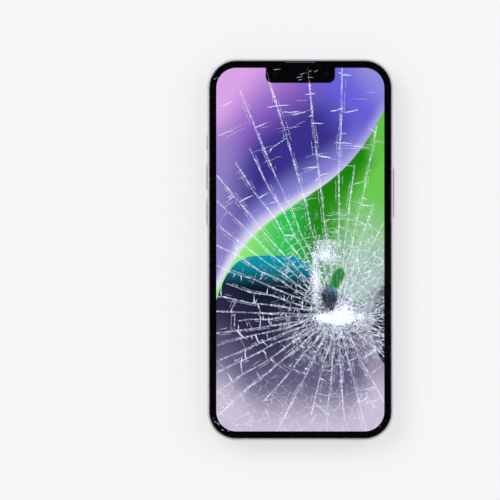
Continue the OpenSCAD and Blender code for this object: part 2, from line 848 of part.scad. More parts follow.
// The seal's groove in the tray's face, between two depths from the outer face
seal_u0 = 1.2;
seal_u1 = 1.7;
seal_depth = 0.35;
face_t = 1.95;
tray_plate_half = tray_len / 2 - 0.8;
sim_l = 12.5;
sim_w = 9;
sim_from_face = 1.4;
sim_floor_t = 0.35;
pin_hole_r = 0.4;
pin_hole_past_face = 1.2;
pin_hole_from_end = 1.6;
seal_bulge = 0.1;

module sim_tray() {
    color(lilac_metal)
        difference() {
            union() {
                wall_pill(-1, 0, seal_u0, tray_at, z_key, tray_len, tray_h);
                wall_pill(-1, seal_u0, seal_u1, tray_at, z_key, tray_len - 2 * seal_depth,
                          tray_h - 2 * seal_depth);
                wall_pill(-1, seal_u1, face_t, tray_at, z_key, tray_len, tray_h);
                wall_block(-1, face_t - weld, tray_depth, tray_at - tray_plate_half,
                           tray_at + tray_plate_half, z_key - tray_plate_t / 2,
                           z_key + tray_plate_t / 2);
            }
            // Pocket for the card, open towards the back
            wall_block(-1, face_t + sim_from_face, face_t + sim_from_face + sim_w,
                       tray_at - sim_l / 2, tray_at + sim_l / 2, z_key - tray_plate_t,
                       z_key + tray_plate_t / 2 - sim_floor_t);
            // Hole for the pin that ejects the tray
            translate([-wall_x(-1), tray_at - tray_len / 2 + pin_hole_from_end, z_key])
                rotate([0, 90, 0]) cylinder(h = 1 + face_t + pin_hole_past_face, r = pin_hole_r);
        }
}

module sim_tray_seal() {
    color([0.25, 0.25, 0.27])
        difference() {
            wall_pill(-1, seal_u0, seal_u1, tray_at, z_key, tray_len + seal_bulge, tray_h + seal_bulge);
            wall_pill(-1, seal_u0 - 1, seal_u1 + 1, tray_at, z_key, tray_len - 2 * seal_depth,
                      tray_h - 2 * seal_depth);
        }
}

module sim_reader() {
    z_top = z_key + tray_plate_t / 2 + reader_room;
    color(steel)
        difference() {
            wall_block(-1, band_wall + reader_from_wall, reader_deep, tray_at - reader_half_y,
                       tray_at + reader_half_y, z_board, z_top + reader_wall);
            wall_block(-1, 0, reader_deep - reader_wall, tray_at - tray_plate_half - reader_room,
                       tray_at + tray_plate_half + reader_room,
                       z_key - tray_plate_t / 2 - reader_room, z_top);
        }
}

// ---------------------------------------------------------------- boards and battery

module logic_board() {
    color(board_blue)
        difference() {
            union() {
                block([board_left, board_low, z_floor], [board_right, board_high, z_board]);
                block([board_right - 1, arm_low, z_floor], [arm_right, board_high, z_board]);
            }
            for (at = board_screws)
                translate([at[0], at[1], z_floor - 1])
                    cylinder(h = board_t + 2, r = screw_r + screw_play);
        }
}

// Steel cans over the chips: each is [low x, low y, high x, high y]
connector_strip = 4.2;
can_gap = 0.5;
can_r = 0.8;
reader_gap = 0.6;
reader_low = tray_at - reader_half_y - reader_gap;
reader_high = tray_at + reader_half_y + reader_gap;
can_end = 3;
can_low = board_low + can_end;
can_high = board_high - can_end;
can_left = board_left + can_gap;
can_right = board_right - connector_strip;
can_split = can_low + 0.445 * (reader_low - can_low);
arm_can_low = arm_low - 5.5;
arm_can_in = 4.2;
cans = [
    [can_left, can_low, can_right, can_split - can_gap],
    [can_left, can_split, can_right, reader_low],
    [can_left, reader_high, can_right, arm_can_low - can_gap],
    [can_left, arm_can_low, can_right, can_high],
    [can_right + 2 * can_gap, arm_low + arm_can_in, arm_right - can_gap, can_high]
];

module board_shields() {
    color(steel)
        for (c = cans)
            soft_block([c[0], c[1], z_board], [c[2], c[3], z_ceiling], can_r);
}

// Small sockets along the board's inner edge, for the ribbons
connector_t = 0.6;
connector_len = 4;
connector_out = 3.2;
connector_in = 0.6;
battery_cable_y = tray_at - 5;
// The second stands at a share of the way from the display's socket to the battery's
connector_share = 0.31;
connector_past_reader = 1.4;
connector_below_arm = 6;
connector_y = [
    flex_at, flex_at + connector_share * (battery_cable_y - flex_at), battery_cable_y,
    reader_high + connector_past_reader, arm_low - connector_below_arm
];

module board_connectors() {
    color([0.16, 0.13, 0.11])
        for (y = connector_y)
            block([board_right - connector_out, y, z_board],
                  [board_right - connector_in, y + connector_len, z_board + connector_t]);
}

battery_w = battery_right - battery_left;
battery_r = 1.4;
// Two strips, at these shares of the battery's width, and each this share wide
adhesive_at = [0.18, 0.58];
adhesive_share = 0.24;
adhesive_end = 3;

module battery() {
    color([0.10, 0.10, 0.11])
        soft_block([battery_left, board_low, z_floor + adhesive_t],
                   [battery_right, battery_high, z_ceiling], battery_r);
}

module battery_adhesive() {
    color([0.92, 0.92, 0.90])
        for (share = adhesive_at)
            block([battery_left + share * battery_w, board_low + adhesive_end, z_floor],
                  [battery_left + (share + adhesive_share) * battery_w, battery_high - adhesive_end,
                   z_floor + adhesive_t]);
}

// Ribbon from the battery over to its socket on the board
module battery_cable() {
    color(copper)
        block([board_right - connector_out, battery_cable_y, z_board + connector_t],
              [battery_left, battery_cable_y + connector_len, z_board + connector_t + flex_t]);
}

// ---------------------------------------------------------------- bottom modules

haptic_wall = 0.5;
haptic_gap = 0.2;
haptic_low = bottom_low;
haptic_high = bottom_high - module_tab;
haptic_r = 0.6;
tab_r = 0.4;
tab_weld = 1;
speaker_r = 0.8;
duct_half_h = 1.3;

// Room inside the band for the bottom modules, with the band's round corners
module module_room() {
    body_plate(band_wall + module_gap, z_floor, z_ceiling);
}

module haptic_case() {
    color(steel) difference() {
        intersection() {
            union() {
                soft_block([haptic_left, haptic_low, z_floor],
                           [haptic_right, haptic_high, z_ceiling], haptic_r);
                soft_block([haptic_left, haptic_high - tab_weld, z_floor],
                           [haptic_left + module_tab, bottom_high, z_floor + module_tab_t], tab_r);
            }
            module_room();
        }
        block([haptic_left + haptic_wall, haptic_low + haptic_wall, z_floor + haptic_wall],
              [haptic_right - haptic_wall, haptic_high - haptic_wall, z_ceiling - haptic_wall]);
        translate([haptic_screw[0], haptic_screw[1], z_floor - 1])
            cylinder(h = module_tab_t + 2, r = screw_r + screw_play);
    }
}

// Heavy block that slides from side to side in the case
module haptic_mass() {
    room = haptic_wall + haptic_travel + haptic_gap;
    color([0.45, 0.45, 0.47])
        block([haptic_left + room, haptic_low + haptic_wall + haptic_gap,
               z_floor + haptic_wall + haptic_gap],
              [haptic_right - room, haptic_high - haptic_wall - haptic_gap,
               z_ceiling - haptic_wall - haptic_gap]);
}

module bottom_speaker() {
    color(black_part) difference() {
        intersection() {
            union() {
                soft_block([speaker_left, bottom_low, z_floor],
                           [speaker_right, bottom_high - module_tab, z_ceiling], speaker_r);
                // Duct to the sound holes
                block([sound_first_x - mesh_margin, -inner_y + module_gap, z_key - duct_half_h],
                      [sound_first_x + (sound_right - 1) * sound_pitch + mesh_margin, bottom_low + 1,
                       z_key + duct_half_h]);
                soft_block([speaker_right - module_tab, bottom_high - module_tab - tab_weld, z_floor],
                           [speaker_right, bottom_high, z_floor + module_tab_t], tab_r);
                soft_block([speaker_left, bottom_high - module_tab - tab_weld, z_floor],
                           [speaker_right - module_tab - 1, bottom_high, z_ceiling], speaker_r);
            }
            module_room();
        }
        translate([speaker_screw[0], speaker_screw[1], z_floor - 1])
            cylinder(h = module_tab_t + 2, r = screw_r + screw_play);
    }
}

// Mesh behind a row of sound holes that runs outwards from the first one
module sound_mesh(side, holes) {
    mirror([side < 0 ? 1 : 0, 0, 0])
        block([sound_first_x - mesh_margin, -inner_y, z_key - mesh_margin],
              [sound_first_x + (holes - 1) * sound_pitch + mesh_margin, -inner_y + mesh_t,
               z_key + mesh_margin]);
}

module sound_meshes() {
    color([0.18, 0.18, 0.2]) intersection() {
        union() {
            sound_mesh(1, sound_right);
            sound_mesh(-1, sound_left);
        }
        body_plate(band_wall, z_floor, z_ceiling);
    }
}

microphone_w = 3.6;
microphone_left = -sound_first_x - 2.2;
microphone_play = 0.1;
microphone_over_key = 1;

module bottom_microphone() {
    color(gold)
        block([microphone_left, -inner_y + mesh_t + microphone_play, z_floor],
              [microphone_left + microphone_w, bottom_low - 2 * microphone_play,
               z_key + microphone_over_key]);
}

mesh_margin = sound_hole_r + 0.2;
mesh_t = 0.3;
port_side = 0.7;
port_half = (socket_w + 2 * port_lip) / 2 + port_side;
port_sunk = 0.1;
port_from_wall = 0.3;
port_module_len = 8.4;

module charge_port() {
    color(steel)
        difference() {
            union() {
                end_pill(port_sunk, band_wall + 1, z_key, socket_w + 2 * port_lip,
                         socket_h + 2 * port_lip);
                soft_block([-port_half, -inner_y + port_from_wall, z_floor],
                           [port_half, bottom_low + port_module_len, z_key + socket_h / 2 + port_lip],
                           tab_r);
            }
            end_pill(-1, socket_depth, z_key, socket_w, socket_h);
        }
}

contacts = 8;
contact_w = 0.36;
contact_t = 0.1;
// How far the contacts stop short of the socket's mouth wall and of its end
contact_short = [0.2, 0.3];
contact_pitch = (socket_w - socket_h - contact_w) / (contacts - 1);

module port_contacts() {
    color(gold)
        for (i = [0 : contacts - 1]) {
            x = (i - (contacts - 1) / 2) * contact_pitch;
            block([x - contact_w / 2, -half_h + band_wall + contact_short[0], z_key - socket_h / 2],
                  [x + contact_w / 2, -half_h + socket_depth - contact_short[1],
                   z_key - socket_h / 2 + contact_t]);
        }
}

// ---------------------------------------------------------------- screws

head_sunk = 0.08;
end_screw_short = 0.2;
lobe_r = 0.17;
lobe_out = 0.26;
lobe_depth = 0.4;

// Bottom screws, with a five-lobed recess for the driver
module end_screws() {
    color(lilac_metal)
        for (x = [-end_screw_x, end_screw_x])
            difference() {
                union() {
                    end_rod(x, z_key, head_sunk, end_head_depth, end_head_r);
                    end_rod(x, z_key, end_head_depth - weld, band_wall + lug_t - end_screw_short,
                            screw_r);
                }
                for (lobe = [0 : 4])
                    end_rod(x + lobe_out * cos(lobe * 72 + 90), z_key + lobe_out * sin(lobe * 72 + 90),
                            -1, lobe_depth, lobe_r);
            }
}

slot_len = 1.1;
slot_w = 0.22;
slot_depth = 0.18;
// Height of a screw's tip above the back of the plate
screw_tip = 0.1;

// A screw with its head on a level, reaching down into the plate
module screw(at, z) {
    translate([at[0], at[1], z]) difference() {
        union() {
            cylinder(h = screw_head_t, r = screw_head_r);
            translate([0, 0, z_plate + screw_tip - z]) cylinder(h = z - z_plate, r = screw_r);
        }
        for (turn = [0, 90])
            rotate(turn) translate([-slot_len / 2, -slot_w / 2, screw_head_t - slot_depth])
                cube([slot_len, slot_w, 1]);
    }
}

module inner_screws() {
    color(steel) {
        for (at = board_screws) screw(at, z_board);
        for (at = bracket_screws) screw(at, z_floor + bracket_t);
        screw(speaker_screw, z_floor + module_tab_t);
        screw(haptic_screw, z_floor + module_tab_t);
    }
}

// ---------------------------------------------------------------- rear cameras

housing_r = 0.8;
leg_gap = 0.05;
leg_out = leg_gap + bracket_t;
leg_lap = 1;
bridge_half = 2;

// Pressed steel cover over both cameras, with a foot for each screw
module camera_bracket() {
    foot = 2.2;
    top = [z_camera_top, z_ceiling];
    wide_wall = wide_at[1] - camera_w / 2;
    wide_side = wide_at[0] - camera_w / 2;
    main_wall = main_at[0] + camera_w / 2;
    color(steel) difference() {
        union() {
            for (at = [wide_at, main_at])
                soft_block([at[0] - camera_w / 2, at[1] - camera_w / 2, top[0]],
                           [at[0] + camera_w / 2, at[1] + camera_w / 2, top[1]], housing_r);
            block([wide_side - bridge_half, main_at[1] + camera_w / 2 - bridge_half, top[0]],
                  [wide_side + bridge_half, wide_wall + bridge_half, top[1]]);
            // Legs and feet
            block([bracket_screws[0][0] - foot / 2, wide_wall - leg_out, z_floor],
                  [bracket_screws[0][0] + foot / 2, wide_wall - leg_gap, top[1]]);
            block([bracket_screws[0][0] - foot / 2, wide_wall - leg_out, top[0]],
                  [bracket_screws[0][0] + foot / 2, wide_wall + leg_lap, top[1]]);
            block([bracket_screws[0][0] - foot / 2, bracket_screws[0][1] - foot / 2, z_floor],
                  [bracket_screws[0][0] + foot / 2, wide_wall - leg_gap, z_floor + bracket_t]);
            block([main_wall + leg_gap, bracket_screws[1][1] - foot / 2, z_floor],
                  [main_wall + leg_out, bracket_screws[1][1] + foot / 2, top[1]]);
            block([main_wall - leg_lap, bracket_screws[1][1] - foot / 2, top[0]],
                  [main_wall + leg_out, bracket_screws[1][1] + foot / 2, top[1]]);
            block([main_wall + leg_gap, bracket_screws[1][1] - foot / 2, z_floor],
                  [bracket_screws[1][0] + foot / 2, bracket_screws[1][1] + foot / 2,
                   z_floor + bracket_t]);
        }
        for (at = bracket_screws)
            translate([at[0], at[1], z_floor - 1]) cylinder(h = bracket_t + 2, r = screw_r + screw_play);
    }
}

// Bore in which a barrel slides, the level of its mouth and the thickness of its end
barrel_play = 0.05;
bore_r = barrel_r + barrel_play;
z_snout = cover_depth + cover_t + snout_gap;
housing_end_t = 1.2;
snout_weld = 0.5;

// Square housing on the plate, with a round snout down through the back glass
module camera_housing(at) {
    color(black_part) translate([at[0], at[1], 0])
        difference() {
            union() {
                translate([0, 0, z_floor]) linear_extrude(z_camera_top - z_floor)
                    outline(camera_w, camera_w, housing_r);
                translate([0, 0, z_snout]) cylinder(h = z_floor - z_snout + snout_weld, r = snout_r);
            }
            translate([0, 0, z_snout - 1])
                cylinder(h = z_camera_top - housing_end_t - z_snout + 1, r = bore_r);
        }
}

// At the end of its travel a barrel stands a little out of the snout
barrel_out = 0.1;
barrel_low = z_snout + focus_travel - barrel_out;
barrel_back_room = 0.4;
barrel_high = z_camera_top - housing_end_t - barrel_back_room;
element_r = 2.6;
element_t = 0.9;
element_sunk = 0.05;
seat_w = 0.5;
seat_t = 0.2;

// Barrel with a seat for the front lens, and a hollow behind it
module lens_barrel(at) {
    z_seat = barrel_low + element_t;
    color([0.12, 0.12, 0.13]) translate([at[0], at[1], 0])
        rotate_extrude() polygon([
            [element_r, barrel_low], [barrel_r, barrel_low], [barrel_r, barrel_high], [0, barrel_high],
            [0, z_seat + seat_t], [element_r - seat_w, z_seat + seat_t],
            [element_r - seat_w, z_seat], [element_r, z_seat]
        ]);
}

// Front lens: flat at the back, domed at the front
module lens_glass(at) {
    dome_r = 6;
    color([0.08, 0.12, 0.25]) translate([at[0], at[1], 0])
        rotate_extrude() intersection() {
            translate([0, barrel_low + element_sunk + dome_r]) circle(dome_r, $fn = 256);
            translate([0, barrel_low]) square([element_r - fit_gap, element_t]);
        }
}

// Metal ring: a wide collar outside, and a neck through the glass
module lens_ring(at) {
    z_neck = z_back_inner + coil_t;
    step_r = neck_r - neck_wall;
    chamfer = 0.25;
    color(lilac_metal) translate([at[0], at[1], 0])
        rotate_extrude() polygon([
            [lens_cover_r + fit_gap, chamfer], [lens_cover_r + fit_gap + chamfer, 0],
            [ring_r - chamfer, 0], [ring_r, chamfer], [ring_r, z_plateau], [neck_r, z_plateau],
            [neck_r, z_neck], [step_r, z_neck], [step_r, cover_depth + cover_t],
            [lens_cover_r + fit_gap, cover_depth + cover_t]
        ]);
}

module lens_cover(at) {
    color([0.05, 0.05, 0.06]) translate([at[0], at[1], cover_depth])
        cylinder(h = cover_t, r = lens_cover_r);
}

flash_proud = 0.05;
flash_back_room = 0.2;

module flash_window() {
    color([0.95, 0.93, 0.88]) translate([flash_at[0], flash_at[1], z_plateau - flash_proud])
        cylinder(h = z_back_inner - flash_back_room - z_plateau + flash_proud, r = flash_r);
}

flash_board_lap = 0.5;
lamp_w = 2.2;
lamp_h = 1.8;
lamp_t = 0.15;

module flash_board() {
    color([0.93, 0.85, 0.35]) translate([flash_at[0], flash_at[1], z_back_inner]) {
        cylinder(h = coil_t, r = flash_r + flash_board_lap);
        translate([-lamp_w / 2, -lamp_h / 2, -lamp_t]) cube([lamp_w, lamp_h, 2 * lamp_t]);
    }
}

rear_mic_sunk = 0.7;

module rear_microphone() {
    color(steel) translate([rear_mic_at[0], rear_mic_at[1], 0]) {
        translate([0, 0, z_back_inner]) cylinder(h = coil_t, r = rear_mic_can_r);
        translate([0, 0, z_plateau + rear_mic_sunk])
            cylinder(h = z_back_inner - z_plateau - rear_mic_sunk + weld, r = rear_mic_r - fit_gap);
    }
}

// ---------------------------------------------------------------- back glass

// One sheet of glass, with the raised square milled from it
module rear_glass() {
    color(lilac_glass)
        difference() {
            union() {
                body_plate(glass_inset, z_back, z_back_inner);
                translate([plateau_x, plateau_y, 0]) {
                    translate([0, 0, z_plateau]) linear_extrude(z_back - z_plateau + 2 * weld)
                        outline(plateau_w - 2 * plateau_h, plateau_w - 2 * plateau_h,
                                plateau_r - plateau_h);
                    sweep_round(plateau_w, plateau_w, plateau_r)
                        intersection() {
                            translate([-plateau_h, z_back]) circle(plateau_h);
                            translate([-plateau_h, z_plateau]) square([plateau_h, plateau_h]);
                        }
                }
            }
            for (at = [wide_at, main_at])
                translate([at[0], at[1], z_plateau - 1])
                    cylinder(h = z_back_inner, r = neck_r + fit_gap);
            translate([flash_at[0], flash_at[1], z_plateau - 1])
                cylinder(h = z_back_inner, r = flash_r + fit_gap);
            translate([rear_mic_at[0], rear_mic_at[1], z_plateau - 1])
                cylinder(h = z_back_inner, r = rear_mic_r);
        }
}

module rear_seal() {
    color([0.75, 0.72, 0.78])
        sweep_round(body_w - 2 * seal_inset, body_h - 2 * seal_inset, corner_r - seal_inset) {
            translate([-seal_wall, z_band_low]) square([seal_wall, z_plate - z_band_low]);
            translate([-seal_ledge_w, z_back_inner]) square([seal_ledge_w - seal_wall / 2,
                                                             z_plate - z_back_inner]);
        }
}

// ---------------------------------------------------------------- wireless charging

// Inner radius of the coil as a share of its outer radius
coil_hole = 0.46;
coil_turns = 11;
groove_w = 0.12;
groove_depth = 0.15;
shield_t = 0.12;
shield_lap = 0.4;

// Flat winding: its turns show as grooves on the side towards the plate
module charging_coil() {
    coil_in = coil_r * coil_hole;
    pitch = (coil_r - coil_in) / coil_turns;
    color(copper) translate([0, 0, z_back_inner])
        difference() {
            cylinder(h = coil_t - shield_t, r = coil_r);
            translate([0, 0, -1]) cylinder(h = coil_t + 2, r = coil_in);
            for (t = [1 : coil_turns - 1])
                rotate_extrude()
                    translate([coil_in + t * pitch - groove_w / 2, coil_t - shield_t - groove_depth])
                        square([groove_w, 1]);
        }
}

module coil_shield() {
    color([0.22, 0.22, 0.24]) translate([0, 0, z_back_inner + coil_t - shield_t])
        cylinder(h = shield_t, r = coil_r + shield_lap);
}

magnets = 18;
// Angle left free between two magnets
magnet_gap = 2;
bar_w = 4.4;
bar_len = 10;
bar_from_ring = 3;

module magnet_ring() {
    color([0.62, 0.62, 0.64]) translate([0, 0, z_back_inner]) {
        for (i = [0 : magnets - 1])
            rotate(i * 360 / magnets + magnet_gap / 2)
                rotate_extrude(angle = 360 / magnets - magnet_gap)
                    translate([magnet_r - magnet_w, 0]) square([magnet_w, coil_t]);
        // Bar below the ring that sets the direction of what snaps on
        translate([-bar_w / 2, -magnet_r - bar_from_ring - bar_len, 0]) cube([bar_w, bar_len, coil_t]);
    }
}

// ---------------------------------------------------------------- the pieces by name

mid_frame();
antenna_strips();
display_carrier();
cover_glass();
border_print();
display_panel();
display_backplate();
display_flex();
earpiece_mesh();
earpiece_speaker();
sensor_bracket();
front_camera();
infrared_camera();
dot_projector();
light_sensor();
side_button();
side_button_switch();
volume_up_button();
volume_down_button();
volume_switches();
ring_switch();
ring_switch_base();
sim_tray();
sim_tray_seal();
sim_reader();
logic_board();
board_shields();
board_connectors();
battery();
battery_adhesive();
battery_cable();
haptic_case();
haptic_mass();
bottom_speaker();
sound_meshes();
bottom_microphone();
charge_port();
port_contacts();
end_screws();
inner_screws();
camera_bracket();
camera_housing(wide_at);  // wide_camera_housing
lens_barrel(wide_at);  // wide_lens_barrel
lens_glass(wide_at);  // wide_lens_glass
lens_ring(wide_at);  // wide_lens_ring
lens_cover(wide_at);  // wide_lens_cover
camera_housing(main_at);  // main_camera_housing
lens_barrel(main_at);  // main_lens_barrel
lens_glass(main_at);  // main_lens_glass
lens_ring(main_at);  // main_lens_ring
lens_cover(main_at);  // main_lens_cover
flash_window();
flash_board();
rear_microphone();
rear_glass();
rear_seal();
charging_coil();
coil_shield();
magnet_ring();
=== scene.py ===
"""A mobile phone with a shattered front glass, lying on its back with its display lit.

The shards, the crumbs of the crushed spot and the flakes along the cracks are built here, from the
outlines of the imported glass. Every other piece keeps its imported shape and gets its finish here.
Lengths are written in millimetres and times MM where the scene, in metres, takes them. Places are
the phone's own: x to its right, y to its top, z up through its display.
"""

import math
import random

import bmesh
import bpy
import numpy as np
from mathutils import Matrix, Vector, noise
from mathutils.geometry import tessellate_polygon


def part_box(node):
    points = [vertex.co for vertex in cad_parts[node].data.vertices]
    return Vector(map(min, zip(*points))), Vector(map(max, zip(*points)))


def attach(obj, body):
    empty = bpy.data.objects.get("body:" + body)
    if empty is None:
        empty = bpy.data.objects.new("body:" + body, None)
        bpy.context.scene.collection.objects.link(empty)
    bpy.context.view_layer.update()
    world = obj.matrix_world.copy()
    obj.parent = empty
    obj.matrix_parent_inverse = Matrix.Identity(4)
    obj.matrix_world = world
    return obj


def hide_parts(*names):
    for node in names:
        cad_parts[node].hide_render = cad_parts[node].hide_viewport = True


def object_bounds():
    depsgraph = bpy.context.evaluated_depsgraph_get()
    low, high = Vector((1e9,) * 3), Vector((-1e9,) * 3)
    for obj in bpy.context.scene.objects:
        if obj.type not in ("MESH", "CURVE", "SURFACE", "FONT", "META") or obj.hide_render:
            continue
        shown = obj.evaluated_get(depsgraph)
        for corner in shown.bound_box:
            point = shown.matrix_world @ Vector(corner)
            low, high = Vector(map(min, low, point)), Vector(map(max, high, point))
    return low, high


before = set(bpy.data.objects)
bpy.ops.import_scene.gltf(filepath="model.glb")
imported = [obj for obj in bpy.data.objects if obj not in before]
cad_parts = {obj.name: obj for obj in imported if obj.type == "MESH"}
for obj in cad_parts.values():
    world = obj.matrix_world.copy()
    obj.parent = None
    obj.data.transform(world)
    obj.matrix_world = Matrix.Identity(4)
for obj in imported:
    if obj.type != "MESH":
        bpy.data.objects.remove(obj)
CAD_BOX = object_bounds()
MM = 0.001
PHONE = "phone_body"

# ------------------------------------------------------------------ what the frame says


def millimetres(node):
    """A node's lowest and highest corners, in millimetres."""
    low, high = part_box(node)
    return Vector(low) / MM, Vector(high) / MM


_, GLASS_HIGH = millimetres("cover_glass")
BACK_LOW, _ = millimetres("rear_glass")


# ------------------------------------------------------------------ shader maths


class Value:
    """A number that varies over a surface. An expression on it adds Math nodes."""

    def __init__(self, finish, socket):
        self.finish = finish
        self.socket = socket

    def __add__(self, other):
        return self.finish.maths("ADD", self, other)

    def __sub__(self, other):
        return self.finish.maths("SUBTRACT", self, other)

    def __rsub__(self, other):
        return self.finish.maths("SUBTRACT", other, self)

    def __mul__(self, other):
        return self.finish.maths("MULTIPLY", self, other)

    def __truediv__(self, other):
        return self.finish.maths("DIVIDE", self, other)

    def __pow__(self, other):
        return self.finish.maths("POWER", self, other)

    __radd__ = __add__
    __rmul__ = __mul__

    def size(self):
        return self.finish.maths("ABSOLUTE", self)

    def root(self):
        return self.finish.maths("SQRT", self)

    def at_least(self, other):
        return self.finish.maths("MAXIMUM", self, other)

    def at_most(self, other):
        return self.finish.maths("MINIMUM", self, other)

    def rise(self, low, high):
        """0 below low, 1 above high and a smooth slope between; falls if low is above high."""
        node = self.finish.node(
            "ShaderNodeMapRange",
            {"interpolation_type": "SMOOTHSTEP"},
            {"Value": self, "From Min": low, "From Max": high},
        )
        return Value(self.finish, node.outputs["Result"])


class Finish:
    """A material, or the world, and the nodes that make it."""

    def __init__(self, name, owner=None):
        self.owner = owner or bpy.data.materials.new(name)
        self.owner.use_nodes = True
        self.tree = self.owner.node_tree
        self.tree.nodes.clear()
        self._place = None

    def node(self, kind, settings=None, inputs=None):
        """Adds a node: its settings first, then the values or links of its sockets."""
        made = self.tree.nodes.new(kind)
        for name, value in (settings or {}).items():
            setattr(made, name, value)
        for name, value in (inputs or {}).items():
            socket = made.inputs[name]
            if isinstance(value, Value):
                value = value.socket
            if isinstance(value, bpy.types.NodeSocket):
                self.tree.links.new(value, socket)
            else:
                socket.default_value = value
        return made

    def maths(self, operation, *terms):
        made = self.node("ShaderNodeMath", {"operation": operation}, dict(enumerate(terms)))
        return Value(self, made.outputs[0])

    def place(self):
        """The surface's place on the phone in millimetres, as a vector socket."""
        if self._place is None:
            coordinates = self.node("ShaderNodeTexCoord")
            scaled = self.node("ShaderNodeVectorMath", {"operation": "SCALE"},
                               {0: coordinates.outputs["Object"], "Scale": 1 / MM})
            self._place = scaled.outputs[0]
        return self._place

    def xyz(self, vector=None):
        """The three parts of a vector, by default of the surface's place."""
        apart = self.node("ShaderNodeSeparateXYZ", None, {0: vector or self.place()})
        return [Value(self, socket) for socket in apart.outputs]

    def joined(self, x, y, z=0.0):
        return self.node("ShaderNodeCombineXYZ", None, {0: x, 1: y, 2: z}).outputs[0]

    def grain(self, scale, detail=2.0, vector=None, **inputs):
        """Soft noise around 0.5; scale is how many lumps fit in a millimetre."""
        sockets = {"Vector": vector or self.place(), "Scale": scale, "Detail": detail, **inputs}
        return Value(self, self.node("ShaderNodeTexNoise", None, sockets).outputs[0])

    def cells(self, scale, vector=None, feature="DISTANCE_TO_EDGE", randomness=1.0):
        """Distance to the nearest edge of a net of cells."""
        sockets = {"Vector": vector or self.place(), "Scale": scale, "Randomness": randomness}
        made = self.node("ShaderNodeTexVoronoi", {"feature": feature}, sockets)
        return Value(self, made.outputs["Distance"])

    def blend(self, share, first, second):
        """A colour between two colours."""
        mixed = self.node("ShaderNodeMix", {"data_type": "RGBA"}, {0: share, 6: first, 7: second})
        return mixed.outputs[2]

    def bump(self, height, strength, distance_mm):
        made = self.node("ShaderNodeBump", None,
                         {"Height": height, "Strength": strength, "Distance": distance_mm * MM})
        return made.outputs["Normal"]

    def principled(self, colour, roughness, metallic=0.0, **inputs):
        named = {name.replace("_", " "): value for name, value in inputs.items()}
        sockets = {"Base Color": colour, "Roughness": roughness, "Metallic": metallic, **named}
        return self.node("ShaderNodeBsdfPrincipled", None, sockets).outputs[0]

    def mixed(self, share, first, second):
        return self.node("ShaderNodeMixShader", None, {0: share, 1: first, 2: second}).outputs[0]

    def clear(self):
        return self.node("ShaderNodeBsdfTransparent").outputs[0]

    def surface(self, shader):
        """Puts the shader on the material or the world, which is then finished."""
        of_world = isinstance(self.owner, bpy.types.World)
        kind = "ShaderNodeOutputWorld" if of_world else "ShaderNodeOutputMaterial"
        self.node(kind, None, {"Surface": shader})
        return self.owner


def hypotenuse(across, along):
    """How far apart two places are, from their distances across and along."""
    return (across ** 2.0 + along ** 2.0).root()


def screen_level(level):
    """Linear brightness of a level from 0 to 255 on a screen."""
    share = level / 255
    return share / 12.92 if share <= 0.04045 else ((share + 0.055) / 1.055) ** 2.4


def colour(red, green, blue):
    """A colour written in screen levels, as the shaders need it."""
    return (screen_level(red), screen_level(green), screen_level(blue), 1.0)


def darker(tone, share):
    """A colour at a share of its brightness."""
    return tuple(share * part for part in tone[:3]) + (1.0,)


# ------------------------------------------------------------------ colours

LILAC_METAL = colour(199, 193, 207)
LILAC_METAL_LIGHT = colour(222, 217, 228)
LILAC_PLASTIC = colour(205, 198, 209)
LILAC_GLASS = colour(232, 222, 234)
BLACK = colour(4, 3, 6)
WHITE = (1, 1, 1, 1)
WHITE_FROST = colour(240, 244, 255)
MILKY = colour(168, 190, 182)

# ------------------------------------------------------------------ finishes of metal


def anodised_metal(name, tone, light):
    """Fine blasted and dyed aluminium, a little lighter where it has been handled."""
    f = Finish(name)
    handled = f.grain(0.09, 3.0).rise(0.42, 0.72)
    speckle = f.grain(14.0, 1.0)
    roughness = 0.34 + speckle * 0.1 - handled * 0.05
    shade = f.blend(handled * 0.35 + speckle * 0.12, tone, light)
    normal = f.bump(speckle, 0.18, 0.012)
    return f.surface(f.principled(shade, roughness, 0.72, Normal=normal))


def polished_ring(name, centre):
    """Metal turned on a lathe: faint grooves round its own middle."""
    f = Finish(name)
    x, y, _ = f.xyz()
    radius = hypotenuse(x - centre.x, y - centre.y)
    grooves = f.grain(1.0, 2.0, f.joined(radius * 22.0, 0.0))
    shade = f.blend(grooves * 0.5, LILAC_METAL, LILAC_METAL_LIGHT)
    normal = f.bump(grooves, 0.15, 0.01)
    return f.surface(f.principled(shade, 0.14 + grooves * 0.12, 0.9, Normal=normal))


def rolled_steel(name, tone, lengthwise=True):
    """Thin steel with rolling lines along one way."""
    f = Finish(name)
    x, y, z = f.xyz()
    across, along = (x, y) if lengthwise else (y, x)
    lines = f.grain(1.0, 3.0, f.joined(across * 9.0, along * 0.25, z))
    cloud = f.grain(0.3, 2.0)
    shade = f.blend(lines * 0.6 + cloud * 0.3, tone, darker(tone, 0.62))
    return f.surface(f.principled(shade, 0.26 + lines * 0.2, 0.92, Normal=f.bump(lines, 0.2, 0.01)))


def plated_contact(name, tone):
    """Plated contact metal with rubbed places."""
    f = Finish(name)
    rubbed = f.grain(3.5, 3.0)
    shade = f.blend(rubbed * 0.7, tone, darker(tone, 0.55))
    normal = f.bump(rubbed, 0.15, 0.01)
    return f.surface(f.principled(shade, 0.18 + rubbed * 0.25, 0.95, Normal=normal))


def sintered_metal(name, tone):
    """Dull pressed metal with open grain."""
    f = Finish(name)
    pits = f.grain(5.0, 4.0)
    shade = f.blend(pits, tone, darker(tone, 0.5))
    return f.surface(f.principled(shade, 0.45 + pits * 0.2, 0.8, Normal=f.bump(pits, 0.35, 0.02)))


# ------------------------------------------------------------------ finishes of plastic and print


